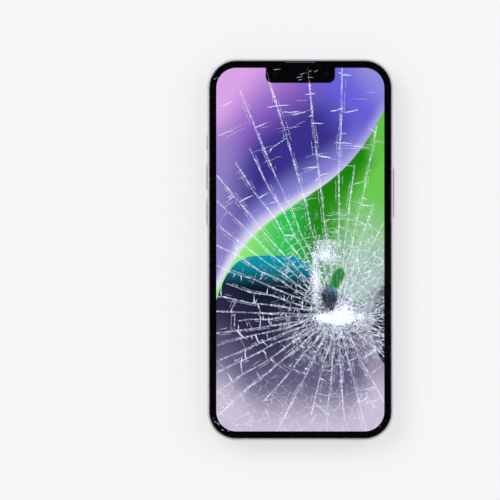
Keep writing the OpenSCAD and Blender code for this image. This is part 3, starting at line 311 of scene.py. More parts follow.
def moulded_plastic(name, tone, roughness=0.5, texture=6.0):
    """Moulded plastic with a fine spark-eroded texture."""
    f = Finish(name)
    texture_height = f.grain(texture, 2.0)
    cloud = f.grain(0.35, 2.0)
    shade = f.blend(cloud * 0.5 + texture_height * 0.25, tone, darker(tone, 0.72))
    normal = f.bump(texture_height, 0.25, 0.015)
    roughness = roughness + texture_height * 0.16 - 0.08
    return f.surface(f.principled(shade, roughness, 0.0, Normal=normal))


def woven_mesh(name, tone):
    """Fine woven mesh: crossing wires with dark holes between."""
    f = Finish(name)
    x, y, z = f.xyz()
    across = f.maths("SINE", x * 22.0)
    along = f.maths("SINE", (y + z) * 22.0)
    wires = (across.size().at_least(along.size())).rise(0.55, 0.95)
    shade = f.blend(wires, BLACK, tone)
    return f.surface(f.principled(shade, 0.4, 0.6, Normal=f.bump(wires, 0.5, 0.03)))


def circuit_resin(name):
    """Solder mask over copper tracks, with small parts' pads."""
    f = Finish(name)
    x, y, _ = f.xyz()
    tracks = f.cells(0.9, f.joined(x, y * 0.45), randomness=0.75).rise(0.09, 0.03)
    pads = f.cells(1.4, None, "F1").rise(0.16, 0.12)
    mask = f.blend(tracks, colour(16, 52, 78), colour(36, 88, 112))
    shade = f.blend(pads * 0.8, mask, colour(196, 168, 104))
    normal = f.bump(tracks + pads, 0.4, 0.02)
    return f.surface(f.principled(shade, 0.38 + tracks * 0.1, pads * 0.7, Normal=normal))


def battery_skin(name):
    """Laminated pouch foil with a slight orange-peel."""
    f = Finish(name)
    peel = f.grain(1.6, 3.0)
    crease = f.cells(0.12).rise(0.03, 0.0)
    shade = f.blend(peel * 0.6 + crease * 0.3, colour(30, 30, 33), colour(58, 58, 62))
    normal = f.bump(peel - crease, 0.3, 0.05)
    return f.surface(f.principled(shade, 0.32 + peel * 0.2, 0.25, Normal=normal))


def coil_copper(name, centre):
    """Enamelled copper wire wound flat."""
    f = Finish(name)
    x, y, _ = f.xyz()
    radius = hypotenuse(x - centre.x, y - centre.y)
    strands = f.maths("SINE", radius * 24.0) * 0.5 + 0.5
    shade = f.blend(strands, colour(120, 62, 36), colour(214, 134, 84))
    return f.surface(f.principled(shade, 0.3, 0.85, Normal=f.bump(strands, 0.5, 0.04)))


def soft_rubber(name, tone):
    """Matt silicone with dust on it."""
    f = Finish(name)
    dust = f.grain(4.0, 3.0).rise(0.45, 0.75)
    shade = f.blend(dust * 0.35, tone, colour(120, 120, 124))
    return f.surface(f.principled(shade, 0.72 + dust * 0.15, 0.0, Normal=f.bump(dust, 0.2, 0.02)))


def black_border(name):
    """Ink printed under the glass: black, with a trace of pinholes."""
    f = Finish(name)
    pinholes = f.grain(9.0, 1.0).rise(0.72, 0.82)
    shade = f.blend(pinholes * 0.4, colour(2, 1, 3), colour(16, 15, 20))
    return f.surface(f.principled(shade, 0.35 + pinholes * 0.2, 0.0, Specular_IOR_Level=0.0))


# ------------------------------------------------------------------ the lit display

SKY = {"rim": colour(230, 228, 250), "periwinkle": colour(144, 138, 222),
       "indigo": colour(57, 49, 142), "mist": colour(148, 134, 204),
       "violet": colour(140, 98, 200), "pink": colour(224, 168, 238),
       "ultramarine": colour(106, 98, 222), "blue": colour(150, 144, 230)}
LEAF = {"lime": colour(148, 243, 126), "spring": colour(44, 198, 84),
        "deep": colour(26, 134, 4), "bright": colour(108, 206, 80),
        "rim": colour(198, 240, 190), "misty": colour(142, 166, 174),
        "shade": colour(4, 122, 48)}
SEA = {"teal": colour(0, 152, 174), "navy": colour(5, 24, 48), "steel": colour(84, 122, 168),
       "plum": colour(44, 38, 74), "mauve": colour(104, 97, 134), "lilac": colour(206, 195, 219)}


def from_pool(x, y):
    """How far a place is from the dark pool at the picture's right edge: 1 along its shore."""
    return ((x - 38.0) / 10.5) ** 2.0 + ((y + 28.0) / 19.0) ** 2.0


def lit_picture(name):
    """The picture on the display, in colour fields: dusk sky, a green slope and a deep sea."""
    f = Finish(name)
    x, y, _ = f.xyz()
    above_slope = y - (x * 0.6 + x ** 3.0 * 0.00046 + 19.0)
    hill = ((x + 11.0) / 20.6) ** 4.0 * -15.0 - 2.3
    shore = f.maths("COSINE", (x - 10.0) * 0.29) * 3.0 + x.rise(-2.0, 6.0) * 60.0 - 77.0
    above_sea = y - hill.at_least(shore)

    rim = f.blend(x.rise(2.0, 26.0) * 0.7, SKY["rim"], SKY["periwinkle"])
    sky = f.blend(above_slope.rise(-0.8, x.rise(-6.0, -30.0) * 7.0 + 5.6), rim, SKY["periwinkle"])
    sky = f.blend(above_slope.rise(3.0, 18.0), sky, SKY["indigo"])
    sky = f.blend(above_slope.rise(27.0, 46.0), sky, SKY["violet"])
    sky = f.blend(above_slope.rise(40.0, 68.0), sky, SKY["pink"])
    upper_right = x * 1.2 + y
    ultramarine = upper_right.rise(54.0, 82.0) * above_slope.rise(2.0, 10.0)
    sky = f.blend(ultramarine, sky, SKY["ultramarine"])
    sky = f.blend(upper_right.rise(82.0, 104.0), sky, SKY["blue"])
    mist = x.rise(-15.0, -35.0) * y.rise(56.0, 34.0) * above_slope.rise(2.0, 9.0)
    sky = f.blend(mist, sky, SKY["mist"])

    below_slope = above_slope * -1.0
    leaf = f.blend(x.rise(-25.0, -5.0), LEAF["lime"], LEAF["spring"])
    leaf = f.blend(x.rise(-6.0, 7.0), leaf, LEAF["deep"])
    bright = (below_slope.rise(3.0, 20.0) * x.rise(4.0, 26.0)).at_least(x.rise(23.0, 30.5) * 0.85)
    leaf = f.blend(bright, leaf, LEAF["bright"])
    bare = spots(x, y, 0.0, OPENINGS)
    leaf = f.blend(y.rise(8.0, -14.0) * x.rise(4.0, 16.0) * (0.8 - bare * 0.8), leaf, LEAF["misty"])
    leaf = f.blend(bare * 0.9, leaf, LEAF["shade"])
    leaf = f.blend(below_slope.rise(1.6, 0.0) * x.rise(10.0, -10.0) * 0.6, leaf, LEAF["rim"])

    sea = f.blend(y.rise(-3.0, -15.0), SEA["teal"], SEA["navy"])
    level = y - x.rise(-13.0, -34.0) * 12.0 - x.rise(17.0, 31.0) * 11.0
    sea = f.blend(level.rise(-17.0, -31.0), sea, SEA["plum"])
    sea = f.blend(level.rise(-32.0, -54.0), sea, SEA["mauve"])
    sea = f.blend(level.rise(-50.0, -70.0), sea, SEA["lilac"])
    sea = f.blend(y.rise(-18.5, -14.0) * x.rise(7.5, 12.0) * x.rise(22.0, 16.0), sea, SEA["steel"])
    sea = f.blend(from_pool(x, y).rise(3.4, 1.4) * y.rise(-22.0, -30.0) * 0.3, sea, SEA["lilac"])
    sea = f.blend(from_pool(x, y).rise(1.03, 0.97), sea, SEA["navy"])

    picture = f.blend(above_slope.rise(-0.12, 0.12), leaf, sky)
    picture = f.blend(above_sea.rise(0.12, -0.12), picture, sea)
    # Rows of dots, too fine to see except close up
    dots = f.maths("SINE", x * 60.0) * f.maths("SINE", y * 60.0) * 0.02 + 0.98
    lit = f.node("ShaderNodeVectorMath", {"operation": "SCALE"}, {0: picture, "Scale": dots})
    return f.surface(f.principled(BLACK, 0.5, 0.0, Specular_IOR_Level=0.0,
                                  Emission_Color=lit.outputs[0], Emission_Strength=1.0))


# ------------------------------------------------------------------ the shattered glass

random.seed(11)
CRACK_SIDES = []        # along each crack's side: place, way into the shard, room there and level
STEP = 0.5              # spacing of the points along a crack
GLASS_TOP = GLASS_HIGH.z
SHARD_T = 0.55          # what shows of a shard's thickness
CRACK_FILL = 0.03       # how far a shard's broken edge reaches into the crack
RIM_BEVEL = 0.12        # ground edge of the whole glass
RIM_TOUCH = 0.05        # a point this close to the glass's outline lies on it
UNDER_BORDER = 0.2      # how much of a broken edge's width is left over the black border
OPEN_WAY = 99.0         # distance where nothing is in the way
SLIVER = 1e-9           # a triangle with less turn than this is left out
CLEAR, BROKEN, UNDERSIDE = range(3)     # a shard's three finishes


def weave(point, scale, seed=0.0):
    """Smooth noise from 0 to 1 at a place on the glass."""
    return 0.5 + 0.5 * noise.noise(Vector((point[0] * scale, point[1] * scale, seed)))


def shard_rings(node):
    """The shards' upper outlines: for each shard, its rings of flat points in millimetres."""
    mesh = bmesh.new()
    mesh.from_mesh(node.data)
    bmesh.ops.remove_doubles(mesh, verts=mesh.verts, dist=1e-7)
    upper = {face for face in mesh.faces if face.normal.z > 0.9}
    shards = []
    while upper:
        front = [upper.pop()]
        group = set(front)
        while front:
            near = {f for edge in front.pop().edges for f in edge.link_faces} & upper
            upper -= near
            group |= near
            front += near
        follow = {}
        for face in group:
            for loop in face.loops:
                if sum(f in group for f in loop.edge.link_faces) == 1:
                    follow[loop.vert] = loop.link_loop_next.vert
        rings = []
        while follow:
            start = next(iter(follow))
            ring, vert = [], start
            while vert in follow:
                ring.append(Vector((vert.co.x / MM, vert.co.y / MM)))
                vert = follow.pop(vert)
            first = min(range(len(ring)), key=lambda i: tuple(ring[i]))
            rings.append(ring[first:] + ring[:first])
        rings.sort(key=lambda ring: -abs(area(ring)))
        shards.append(rings)
    mesh.free()
    shards.sort(key=lambda rings: (round(middle(rings[0]).x, 3), round(middle(rings[0]).y, 3)))
    return shards


def step_at(angle):
    """A step of 1 at an angle on the glass."""
    return Vector((math.cos(angle), math.sin(angle)))


def sides_of(ring):
    """A ring's sides, each as its two ends."""
    return zip(ring, ring[1:] + ring[:1])


def area(ring):
    """Area inside a ring; negative if it runs clockwise."""
    return 0.5 * sum(a.x * b.y - b.x * a.y for a, b in sides_of(ring))


def middle(ring):
    """Mean of a ring's points."""
    return sum(ring, Vector((0, 0))) / len(ring)


SHARDS = shard_rings(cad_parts["cover_glass"])


def impact_point():
    """Where the glass was hit: the place that the long straight cracks point to."""
    edges = [side for rings in SHARDS for ring in rings for side in sides_of(ring)]
    starts, ends = (np.array(side) for side in zip(*edges))
    along = ends - starts
    length = np.hypot(*along.T)
    along = along / length[:, None]
    normals = np.stack([-along[:, 1], along[:, 0]], axis=1)
    point = np.median(starts, axis=0)
    for tolerance in (0.5, 0.3, 0.15, 0.1, 0.1):
        toward = point - starts
        reach = np.maximum(np.hypot(*toward.T), 0.1)
        aimed = np.abs((toward * normals).sum(axis=1)) / reach < tolerance
        weight = (aimed & (length > 1.5) & (reach > 4)) / reach
        sides = normals * weight[:, None]
        point = np.linalg.lstsq(sides, (sides * starts).sum(axis=1), rcond=None)[0]
    return Vector(point.tolist())


IMPACT = impact_point()
CORNER_R = GLASS_HIGH.x - max(p.x for rings in SHARDS for p in rings[0]
                              if GLASS_HIGH.y - p.y < 0.01)


def rim_distance(point):
    """How far a place on the glass lies from the glass's own outline."""
    dx = abs(point.x) - (GLASS_HIGH.x - CORNER_R)
    dy = abs(point.y) - (GLASS_HIGH.y - CORNER_R)
    if dx > 0 and dy > 0:
        return CORNER_R - math.hypot(dx, dy)
    return CORNER_R - max(dx, dy)


def over_picture(point, margin=0.4):
    """Whether a place lies over the lit picture, clear of the border and the notch."""
    dx, dy = abs(point.x) - (LIT_X - LIT_R), abs(point.y) - (LIT_Y - LIT_R)
    beyond = math.hypot(max(dx, 0), max(dy, 0)) + min(max(dx, dy), 0)
    notch = abs(point.x) < NOTCH_X + margin and point.y > LIT_Y - NOTCH_H - margin
    return beyond < LIT_R - margin and not notch


def lit_half_size():
    """Half width and half height of the window in the black border."""
    points = [v.co.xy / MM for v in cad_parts["border_print"].data.vertices]
    inner = [p for p in points if rim_distance(p) > 1.5]
    return max(abs(p.x) for p in inner), max(-p.y for p in inner)


LIT_X, LIT_Y = lit_half_size()
LIT_R = 7.6             # corners of the lit window
NOTCH_X = 13.35         # half the notch's width
NOTCH_H = 5.8


def chip_width(point, way):
    """Width of the broken edge: uneven, wide by the impact, narrow on cracks that run round it."""
    spoke = point - IMPACT
    away = spoke.length
    round_it = abs(way.dot(spoke)) / max(away, 0.01)
    beads = weave(point, 1.3, 3.0) ** 2.2
    slow = weave(point, 0.16, 9.0)
    shown = 1.0 if over_picture(point, 0.0) else UNDER_BORDER
    width = 0.05 + (0.50 * beads + 0.3 * max(0.0, slow - 0.5)) * shown
    far = min(1.0, max(0.0, away - 34) / 30)
    width = width * (1.05 + 0.5 * math.exp(-away / 18) + 0.55 * far)
    return width * (1 - 0.62 * round_it * min(1.0, away / 22))


def resampled(ring):
    """A ring with points added along its long sides."""
    points = []
    for start, end in sides_of(ring):
        parts = max(1, math.ceil((end - start).length / STEP))
        points += [start.lerp(end, i / parts) for i in range(parts)]
    return points


def inward(points, i):
    """Direction into the shard at a point of its ring."""
    before = points[i] - points[i - 1]
    after = points[(i + 1) % len(points)] - points[i]
    along = before.normalized() + after.normalized()
    if along.length < 1e-6:
        along = after
    along.normalize()
    return Vector((-along.y, along.x))


def clear_way(point, way, starts, spans):
    """Distance from a point along a direction to the nearest side of the same shard."""
    cross = way.x * spans[:, 1] - way.y * spans[:, 0]
    gap = starts - np.array(point)
    with np.errstate(divide="ignore", invalid="ignore"):
        along = (gap[:, 0] * spans[:, 1] - gap[:, 1] * spans[:, 0]) / cross
        share = (gap[:, 0] * way.y - gap[:, 1] * way.x) / cross
    hit = along[(share >= 0) & (share <= 1) & (along > 1e-3) & np.isfinite(along)]
    return float(hit.min()) if len(hit) else OPEN_WAY


def build_shard(mesh, rings):
    """Adds one shard: a clear face, a broken edge that slopes down, its walls and underside."""
    loops = [resampled(ring) for ring in rings]
    starts = np.array([p for loop in loops for p in loop])
    spans = np.array([loop[(i + 1) % len(loop)] - p for loop in loops for i, p in enumerate(loop)])
    centre = middle(loops[0])
    reach = max((p - centre).length for p in loops[0])
    away = (centre - IMPACT).length
    lean = min(0.045, 0.07 / reach) * (0.35 + math.exp(-away / 16))
    tilt = Vector((random.uniform(-lean, lean), random.uniform(-lean, lean)))
    dent = 0.16 * max(0.0, 1 - away / 9)
    top = GLASS_TOP - dent - tilt.length * reach

    def level(point):
        return top + tilt.dot(point - centre)

    faces = []
    inner_loops = []
    for loop in loops:
        count = len(loop)
        ways = [inward(loop, i) for i in range(count)]
        outer, inner, side = [], [], []
        for point, way in zip(loop, ways):
            on_rim = rim_distance(point) < RIM_TOUCH
            width = RIM_BEVEL if on_rim else chip_width(point, way)
            room = clear_way(point, way, starts, spans)
            width = min(width, 0.4 * room)
            edge = point if on_rim else point - way * CRACK_FILL
            drop = 0.5 * width if on_rim else 0.3 * width * min(1.0, rim_distance(point) / 6)
            outer.append(Vector((edge.x, edge.y, level(point) - drop)))
            mid = point + way * width
            inner.append(Vector((mid.x, mid.y, level(mid))))
            inland = rim_distance(point) >= 3
            side.append((mid, way, room - width, level(mid)) if inland else None)
        low = [Vector((p.x, p.y, level(p.xy) - SHARD_T)) for p in outer]
        rows = [[mesh.verts.new(p * MM) for p in row] for row in (inner, outer, low)]
        for i in range(count):
            j = (i + 1) % count
            faces.append(((rows[1][i], rows[1][j], rows[0][j], rows[0][i]), BROKEN))
            faces.append(((rows[2][i], rows[2][j], rows[1][j], rows[1][i]), BROKEN))
        inner_loops.append((inner, rows[0], rows[2]))
        CRACK_SIDES.append(side)
    flat = [[Vector((p.x, p.y, 0)) for p in inner] for inner, _, _ in inner_loops]
    corners = [p for ring in flat for p in ring]
    upper = [v for _, verts, _ in inner_loops for v in verts]
    lower = [v for _, _, verts in inner_loops for v in verts]
    for a, b, c in tessellate_polygon(flat):
        trio = (a, b, c)
        turn = (corners[b] - corners[a]).cross(corners[c] - corners[a]).z
        if abs(turn) < SLIVER:
            continue
        if turn < 0:
            trio = (c, b, a)
        faces.append((tuple(upper[i] for i in trio), CLEAR))
        faces.append((tuple(lower[i] for i in reversed(trio)), UNDERSIDE))
    for verts, finish in faces:
        # Slivers can be given twice
        if not mesh.faces.get(verts):
            mesh.faces.new(verts).material_index = finish


def built(name, mesh, finishes, body=PHONE):
    """Makes an object of a bmesh that rides on a body."""
    data = bpy.data.meshes.new(name)
    mesh.to_mesh(data)
    mesh.free()
    for finish in finishes:
        data.materials.append(finish)
    piece = bpy.data.objects.new(name, data)
    bpy.context.scene.collection.objects.link(piece)
    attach(piece, body)
    return piece


# Spots of the broken zone, measured from the impact: right, up, half width, half height
CRUSHED = [(2.2, -1.1, 5.0, 3.3), (-4.6, -1.4, 3.2, 1.7)]
FRINGE = [(0.2, -3.0, 8.2, 5.6), (3.4, 2.6, 4.6, 3.4), (9.2, -0.8, 5.6, 4.4)]
GRAINY = [(-7.8, 13.0, 2.2, 12.5), (-4.0, 22.8, 4.8, 3.6), (-3.0, 27.0, 5.6, 2.0)]
HAZY = (12.8, 16.0, 12.4, 17.6)
VEILED = (12.5, 23.0, 12.5, 20.0)
OPENINGS = [(-0.2, 12.6, 2.0, 3.0), (0.6, 14.2, 2.2, 2.8), (1.5, 15.6, 2.0, 2.6),
            (-2.6, 6.6, 3.3, 5.3)]


def spot(x, y, ragged, right, up, half_w, half_h, soft=0.3):
    """1 inside an uneven spot beside the impact, 0 outside it."""
    across = (x - (IMPACT.x + right)) / half_w
    along = (y - (IMPACT.y + up)) / half_h
    return (hypotenuse(across, along) + ragged).rise(0.95 + soft, 0.95 - soft)


def spots(x, y, ragged, places):
    """The union of several spots."""
    joined = spot(x, y, ragged, *places[0])
    for place in places[1:]:
        joined = joined.at_least(spot(x, y, ragged, *place))
    return joined


def visible_share(f, x, y):
    """How clearly a crack shows: fully over the lit picture, hardly over the black border."""
    over_x = x.size() - (LIT_X - LIT_R)
    over_y = y.size() - (LIT_Y - LIT_R)
    corner = hypotenuse(over_x.at_least(0.0), over_y.at_least(0.0))
    inside = (corner + over_x.at_least(over_y).at_most(0.0)).rise(LIT_R + 0.1, LIT_R - 0.25)
    notch_end = LIT_Y - NOTCH_H
    notch = x.size().rise(NOTCH_X + 0.1, NOTCH_X - 0.1) * y.rise(notch_end - 0.1, notch_end + 0.1)
    openings = spots(x, y, (f.grain(0.5, 3.0) - 0.5) * 0.5, OPENINGS)
    return inside * (1.0 - notch * 0.62) * (1.0 - openings * 0.96) * 0.997 + 0.003


def broken_zone(f, x, y):
    """How white the glass is round the impact, crushed or grainy, and how milky beside that."""
    ragged = (f.grain(0.5, 4.0) - 0.5) * 1.7
    mottle = f.grain(1.4, 4.0).rise(0.32, 0.66)
    grains = f.cells(1.5, None, "F1").rise(0.62, 0.34) * (0.35 + mottle * 0.65)
    veins = f.cells(0.36, None).rise(0.10, 0.03) * f.grain(0.5, 2.0).rise(0.40, 0.60)
    crushed = spots(x, y, ragged * 0.8, CRUSHED)
    grainy = spots(x, y, ragged, GRAINY).at_least(spots(x, y, ragged, FRINGE) * 0.75)
    pool = from_pool(x, y).rise(1.2, 0.8)
    hazy = spot(x, y, ragged * 0.7, *HAZY, soft=0.42) * (1.0 - pool * 0.75)
    white = (grainy * (0.10 + grains * 0.78)).at_least(hazy * (mottle * 0.08 + veins * 0.6))
    white = white.at_least(crushed * (0.86 + mottle * 0.14))
    wide = spot(x, y, ragged * 0.4, *VEILED)
    milky = (hazy * (0.54 + mottle * 0.20)).at_least(grainy * 0.4)
    return white, milky.at_least(wide * (0.22 + mottle * 0.2))


def fine_cracks(f, x, y):
    """Net of fine cracks: spokes and short arcs round the impact, a loose net by the lower end."""
    dx, dy = x - IMPACT.x, y - IMPACT.y
    radius = hypotenuse(dx, dy)
    turn = f.maths("ARCTAN2", dy, dx)
    wobble = (f.grain(0.5, 2.0) - 0.5) * 0.25
    rings = f.maths("LOGARITHM", radius.at_least(1.0), math.e)
    web = f.cells(1.0, f.joined(turn * 8.6 + wobble, rings * 5.0 + wobble), randomness=0.85)
    thin = (0.085 - radius * 0.001).at_least(0.03)
    lines = (web / thin).rise(1.0, 0.35)
    near = radius.rise(dy.rise(6.0, 26.0) * 16.0 + 31.0, 9.0)
    broken = f.grain(0.8, 3.0).rise(0.42, 0.62)
    loose = f.cells(0.24, f.joined(x + wobble * 6.0, y * 1.2)).rise(0.042, 0.010)
    low_end = y.rise(-GLASS_HIGH.y + 30.0, -GLASS_HIGH.y + 12.0)
    slender = f.joined(turn * 15.0 + wobble * 3.0, rings * 3.2 + wobble * 2.0)
    comb = f.cells(1.0, slender, randomness=0.9)
    by_side = dx.rise(10.5, 14.5) * dy.rise(9.0, 2.0) * dy.rise(-19.0, -13.0)
    fan = radius.rise(27.0, 14.0) * radius.rise(5.0, 9.0) * dy.rise(1.0, -7.0) * 0.6
    streaks = comb.rise(0.15, 0.03) * by_side.at_least(fan) * (0.25 + broken * 0.5)
    net = lines * near * broken * (0.55 + dy.rise(12.0, 28.0) * 0.4)
    return net.at_least(loose * low_end * (0.12 + broken * 0.34)).at_least(streaks)


def glass_reflection(f):
    """Polished glass seen by what it mirrors: clear face on, a fair mirror at a low angle."""
    gloss = f.node("ShaderNodeBsdfGlossy", None, {"Color": WHITE, "Roughness": 0.015}).outputs[0]
    share = Value(f, f.node("ShaderNodeFresnel", None, {"IOR": 1.5}).outputs[0])
    return f.mixed(share.at_most(0.22), f.clear(), gloss)


def frosted_glass(f, height, glow=0.16):
    """Crushed or chipped glass: white facets with a painted glow, for the display's light they pass
    on.
    """
    facets = f.cells(2.4, None, "F1")
    shade = f.blend(facets, WHITE_FROST, colour(216, 225, 246))
    # Painted glow: the white facets emit their own light at strength glow, standing in for the
    # display's light
    return f.principled(shade, 0.3, 0.0, Normal=f.bump(facets + height, 0.5, 0.06),
                        Emission_Color=shade, Emission_Strength=glow)


def clear_glass(name):
    """A shard's face: clear, with fine cracks in it, white or milky in the broken zone, the white
    with a painted glow.
    """
    f = Finish(name)
    x, y, _ = f.xyz()
    shown = visible_share(f, x, y)
    cracks = fine_cracks(f, x, y)
    white, milky = broken_zone(f, x, y)
    white = (white.at_least(cracks) * shown).at_most(0.97)
    bruised = f.mixed(milky * shown, glass_reflection(f), f.principled(MILKY, 0.4))
    # The white cracks and crushed spots carry a painted glow of strength 0.22
    return f.surface(f.mixed(white, bruised, frosted_glass(f, cracks, 0.22)))


def chipped_edge(name):
    """The sloping broken edge along a crack: beads of white with a painted glow, clearer stretches
    between.
    """
    f = Finish(name)
    x, y, _ = f.xyz()
    beads = f.cells(1.25, None, "F1").rise(0.72, 0.28)
    stretches = f.grain(0.22, 3.0).rise(0.36, 0.62)
    away = hypotenuse(x - IMPACT.x, y - IMPACT.y)
    strength = 0.15 + stretches * 0.22 + away.rise(30.0, 6.0) * 0.10
    fading = 1.0 - away.rise(26.0, 62.0) * (0.52 - stretches * 0.34)
    white = (strength + beads * (0.28 + stretches * 0.32)).at_most(0.96)
    white = white * fading * visible_share(f, x, y)
    # The white beads carry a painted glow at frosted_glass's default strength
    return f.surface(f.mixed(white, glass_reflection(f), frosted_glass(f, beads)))


def glued_underside(name):
    """The shards' undersides, stuck to the display: nothing shows there."""
    f = Finish(name)
    film = f.grain(0.6, 2.0).rise(0.4, 0.8) * 0.002
    return f.surface(f.mixed(film, f.clear(), f.principled(WHITE_FROST, 0.6)))


def shattered_glass():
    """All the shards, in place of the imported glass."""
    mesh = bmesh.new()
    for rings in SHARDS:
        build_shard(mesh, rings)
    finishes = [clear_glass("clear_glass"), chipped_edge("chipped_glass_edge"),
                glued_underside("glued_underside")]
    glass = built("shattered_glass", mesh, finishes)
    glass.visible_shadow = False
    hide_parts("cover_glass")
    return glass


# ------------------------------------------------------------------ crumbs, splinters and hairlines

CRUMBS = 2600
SPLINTER_TRIES = 1500
BRIGHT_ARCS = 14        # long bright cracks that run round the impact
THIN_ARCS = 46          # thin ones, short
CLOSE_ARCS = 16         # thin ones above the impact, each a little beyond the last
CLOSE_ARCS_FROM = 27.5  # how far from the impact the first of them lies
CLOSE_ARCS_GAP = 1.3    # and how far apart they lie
NOTCH_CHIPS = 9
CORNER_CHIPS = [(-1, -1, 7), (1, -1, 2), (-1, 1, 2)]    # right or left, up or down, and how many
RIDGE_FOOT = 0.02       # how far a ridge's foot is sunk into the glass


def crumb(mesh, centre, size, top, thickness, stretch=1.0, heading=0.0):
    """A small splinter with three to six corners and a slanting face."""
    corners = random.randint(3, 6)
    turn = random.uniform(0, math.tau)
    along = step_at(heading)
    across = Vector((-along.y, along.x))
    rim = []
    for k in range(corners):
        angle = turn + (k + random.uniform(-0.3, 0.3)) * math.tau / corners
        radius = size * random.uniform(0.55, 1.0)
        rim.append(centre + along * (math.cos(angle) * radius * stretch)
                   + across * (math.sin(angle) * radius))
    highs = [top - random.uniform(0.0, 0.6) * thickness for _ in rim]
    upper = [mesh.verts.new(Vector((p.x, p.y, z)) * MM) for p, z in zip(rim, highs)]
    lower = [mesh.verts.new(Vector((p.x, p.y, top - thickness)) * MM) for p in rim]
    mesh.faces.new(upper)
    mesh.faces.new(list(reversed(lower)))
    for k in range(corners):
        j = (k + 1) % corners
        mesh.faces.new((lower[k], lower[j], upper[j], upper[k]))


def ridge(mesh, line, widths, levels, height):
    """A low ridge with a three-cornered section along a flat line, tapered by its widths."""
    rows = []
    for i, (point, width, level) in enumerate(zip(line, widths, levels)):
        along = (line[min(i + 1, len(line) - 1)] - line[max(i - 1, 0)]).normalized()
        across = Vector((-along.y, along.x)) * width
        peak = min(level + height * min(1.0, width / 0.08), GLASS_TOP)
        ends = (point + across, point - across)
        rows.append([mesh.verts.new(Vector((p.x, p.y, level - RIDGE_FOOT)) * MM) for p in ends])
        rows[-1].append(mesh.verts.new(Vector((point.x, point.y, peak)) * MM))
    for (left, right, peak), (left2, right2, peak2) in zip(rows, rows[1:]):
        mesh.faces.new((left, peak, peak2, left2))
        mesh.faces.new((peak, right, right2, peak2))
        mesh.faces.new((right, left, left2, right2))
    mesh.faces.new((rows[0][0], rows[0][1], rows[0][2]))
    mesh.faces.new((rows[-1][1], rows[-1][0], rows[-1][2]))


def in_spot(point, place, grow=1.0):
    """Whether a place lies inside a spot of the broken zone, grown or shrunk by a factor."""
    right, up, half_w, half_h = place
    off = point - IMPACT
    return math.hypot((off.x - right) / half_w, (off.y - up) / half_h) < grow


def in_spots(point, places, grow=1.0):
    """Whether a place lies inside any of several spots."""
    return any(in_spot(point, place, grow) for place in places)


def crumbs():
    """Crushed glass: thick in the crushed spot, in grains round it, sparse over the hazy part."""
    mesh = bmesh.new()
    made = 0
    while made < CRUMBS:
        kind = random.random()
        places = CRUSHED + FRINGE if kind < 0.5 else GRAINY[:2] if kind < 0.93 else [HAZY]
        place = random.choice(places)
        angle, reach = random.uniform(0, math.tau), abs(random.gauss(0, 0.62))
        point = IMPACT + Vector((place[0] + place[2] * reach * math.cos(angle),
                                 place[1] + place[3] * reach * math.sin(angle)))
        crushed = in_spots(point, CRUSHED)
        if not over_picture(point) or (in_spots(point, OPENINGS, 0.95) and not crushed):
            continue
        size = random.uniform(0.2, 0.7) if crushed else random.uniform(0.09, 0.34)
        outward = math.atan2(point.y - IMPACT.y, point.x - IMPACT.x)
        heading = outward + random.choice((0, math.pi / 2))
        stretch = 1.0 if crushed else random.uniform(1.0, 2.4)
        top = GLASS_TOP - random.uniform(0.0, 0.05)
        crumb(mesh, point, size, top, random.uniform(0.05, 0.14), stretch, heading)
        made += 1
    # The crumbs carry the strongest painted glow, 0.34
    return built("glass_crumbs", mesh, [splinter_glass("crumb_glass", 0.48, 0.34)])


def splinter(mesh, point, way, level):
    """A curved splinter lifted at a crack's side; chance leaves most out, fewer by the impact."""
    spoke = point - IMPACT
    away = spoke.length
    spoke.normalize()
    if random.random() > 0.10 + 0.34 * math.exp(-away / 15):
        return
    length = random.uniform(0.5, 1.4) + random.random() ** 1.5 * min(5.5, max(0.0, away - 12) / 6)
    heading = math.atan2(way.y, way.x) + random.gauss(0, 0.25)
    if abs(way.dot(spoke)) > 0.7:
        heading += random.choice((-1, 1)) * math.pi / 2
    curl = random.uniform(-0.14, 0.14)
    steps = max(3, round(length / 0.45))
    line = [point - way * 0.2]
    for _ in range(steps):
        line.append(line[-1] + step_at(heading) * length / steps)
        heading += curl * length / steps
    if not all(over_picture(p) for p in line):
        return
    widest = random.uniform(0.07, 0.17) + 0.12 * min(1.0, length / 4)
    peak_at = random.uniform(0.15, 0.5)
    shares = [i / steps for i in range(steps + 1)]
    slope = max(peak_at, 1 - peak_at)
    widths = [widest * max(0.06, 1 - abs(t - peak_at) / slope) ** 0.8 for t in shares]
    ridge(mesh, line, widths, [level] * len(line), 0.06)


def splinters():
    """Bright curved splinters, most of them across the long cracks, and long bright arcs."""
    mesh = bmesh.new()
    sides = [place for side in CRACK_SIDES for place in side if place]
    for _ in range(SPLINTER_TRIES):
        point, way, _, level = random.choice(sides)
        splinter(mesh, point, way, level)
    for _ in range(BRIGHT_ARCS):
        reach, turn = random.uniform(44, 92), random.uniform(1.4, 2.25)
        arc(mesh, reach, turn, random.uniform(4.0, 9.0) / reach, random.uniform(-0.3, 0.3), 0.15)
    # Splinters and bright arcs carry a painted glow of 0.08 more than the hairlines, 0.18
    finish = splinter_glass("splinter_glass", 0.40, 0.18)
    return built("glass_splinters", mesh, [finish])


def taper(t, steep):
    """1 along most of a line, less by its two ends, where t is 0 and 1."""
    return min(1.0, steep * t + 0.1, steep * (1 - t) + 0.1)


def arc(mesh, reach, turn, sweep, slope, width):
    """A thin crack round the impact, at a reach from it; slope draws it outward along its way."""
    steps = max(6, round(reach * sweep / 0.8))
    shares = [k / steps for k in range(steps + 1)]
    ways = [step_at(turn + sweep * t) for t in shares]
    line = [IMPACT + way * reach * (1 + slope * sweep * t) for t, way in zip(shares, ways)]
    line = [p + (p - IMPACT).normalized() * 1.1 * (weave(p, 0.35, 4.0) - 0.5) for p in line]
    if all(over_picture(p) for p in line):
        widths = [width * (0.4 + 1.2 * weave(p, 0.7, 2.0)) * taper(t, 5)
                  for p, t in zip(line, shares)]
        ridge(mesh, line, widths, [GLASS_TOP - 0.05] * len(line), 0.03)


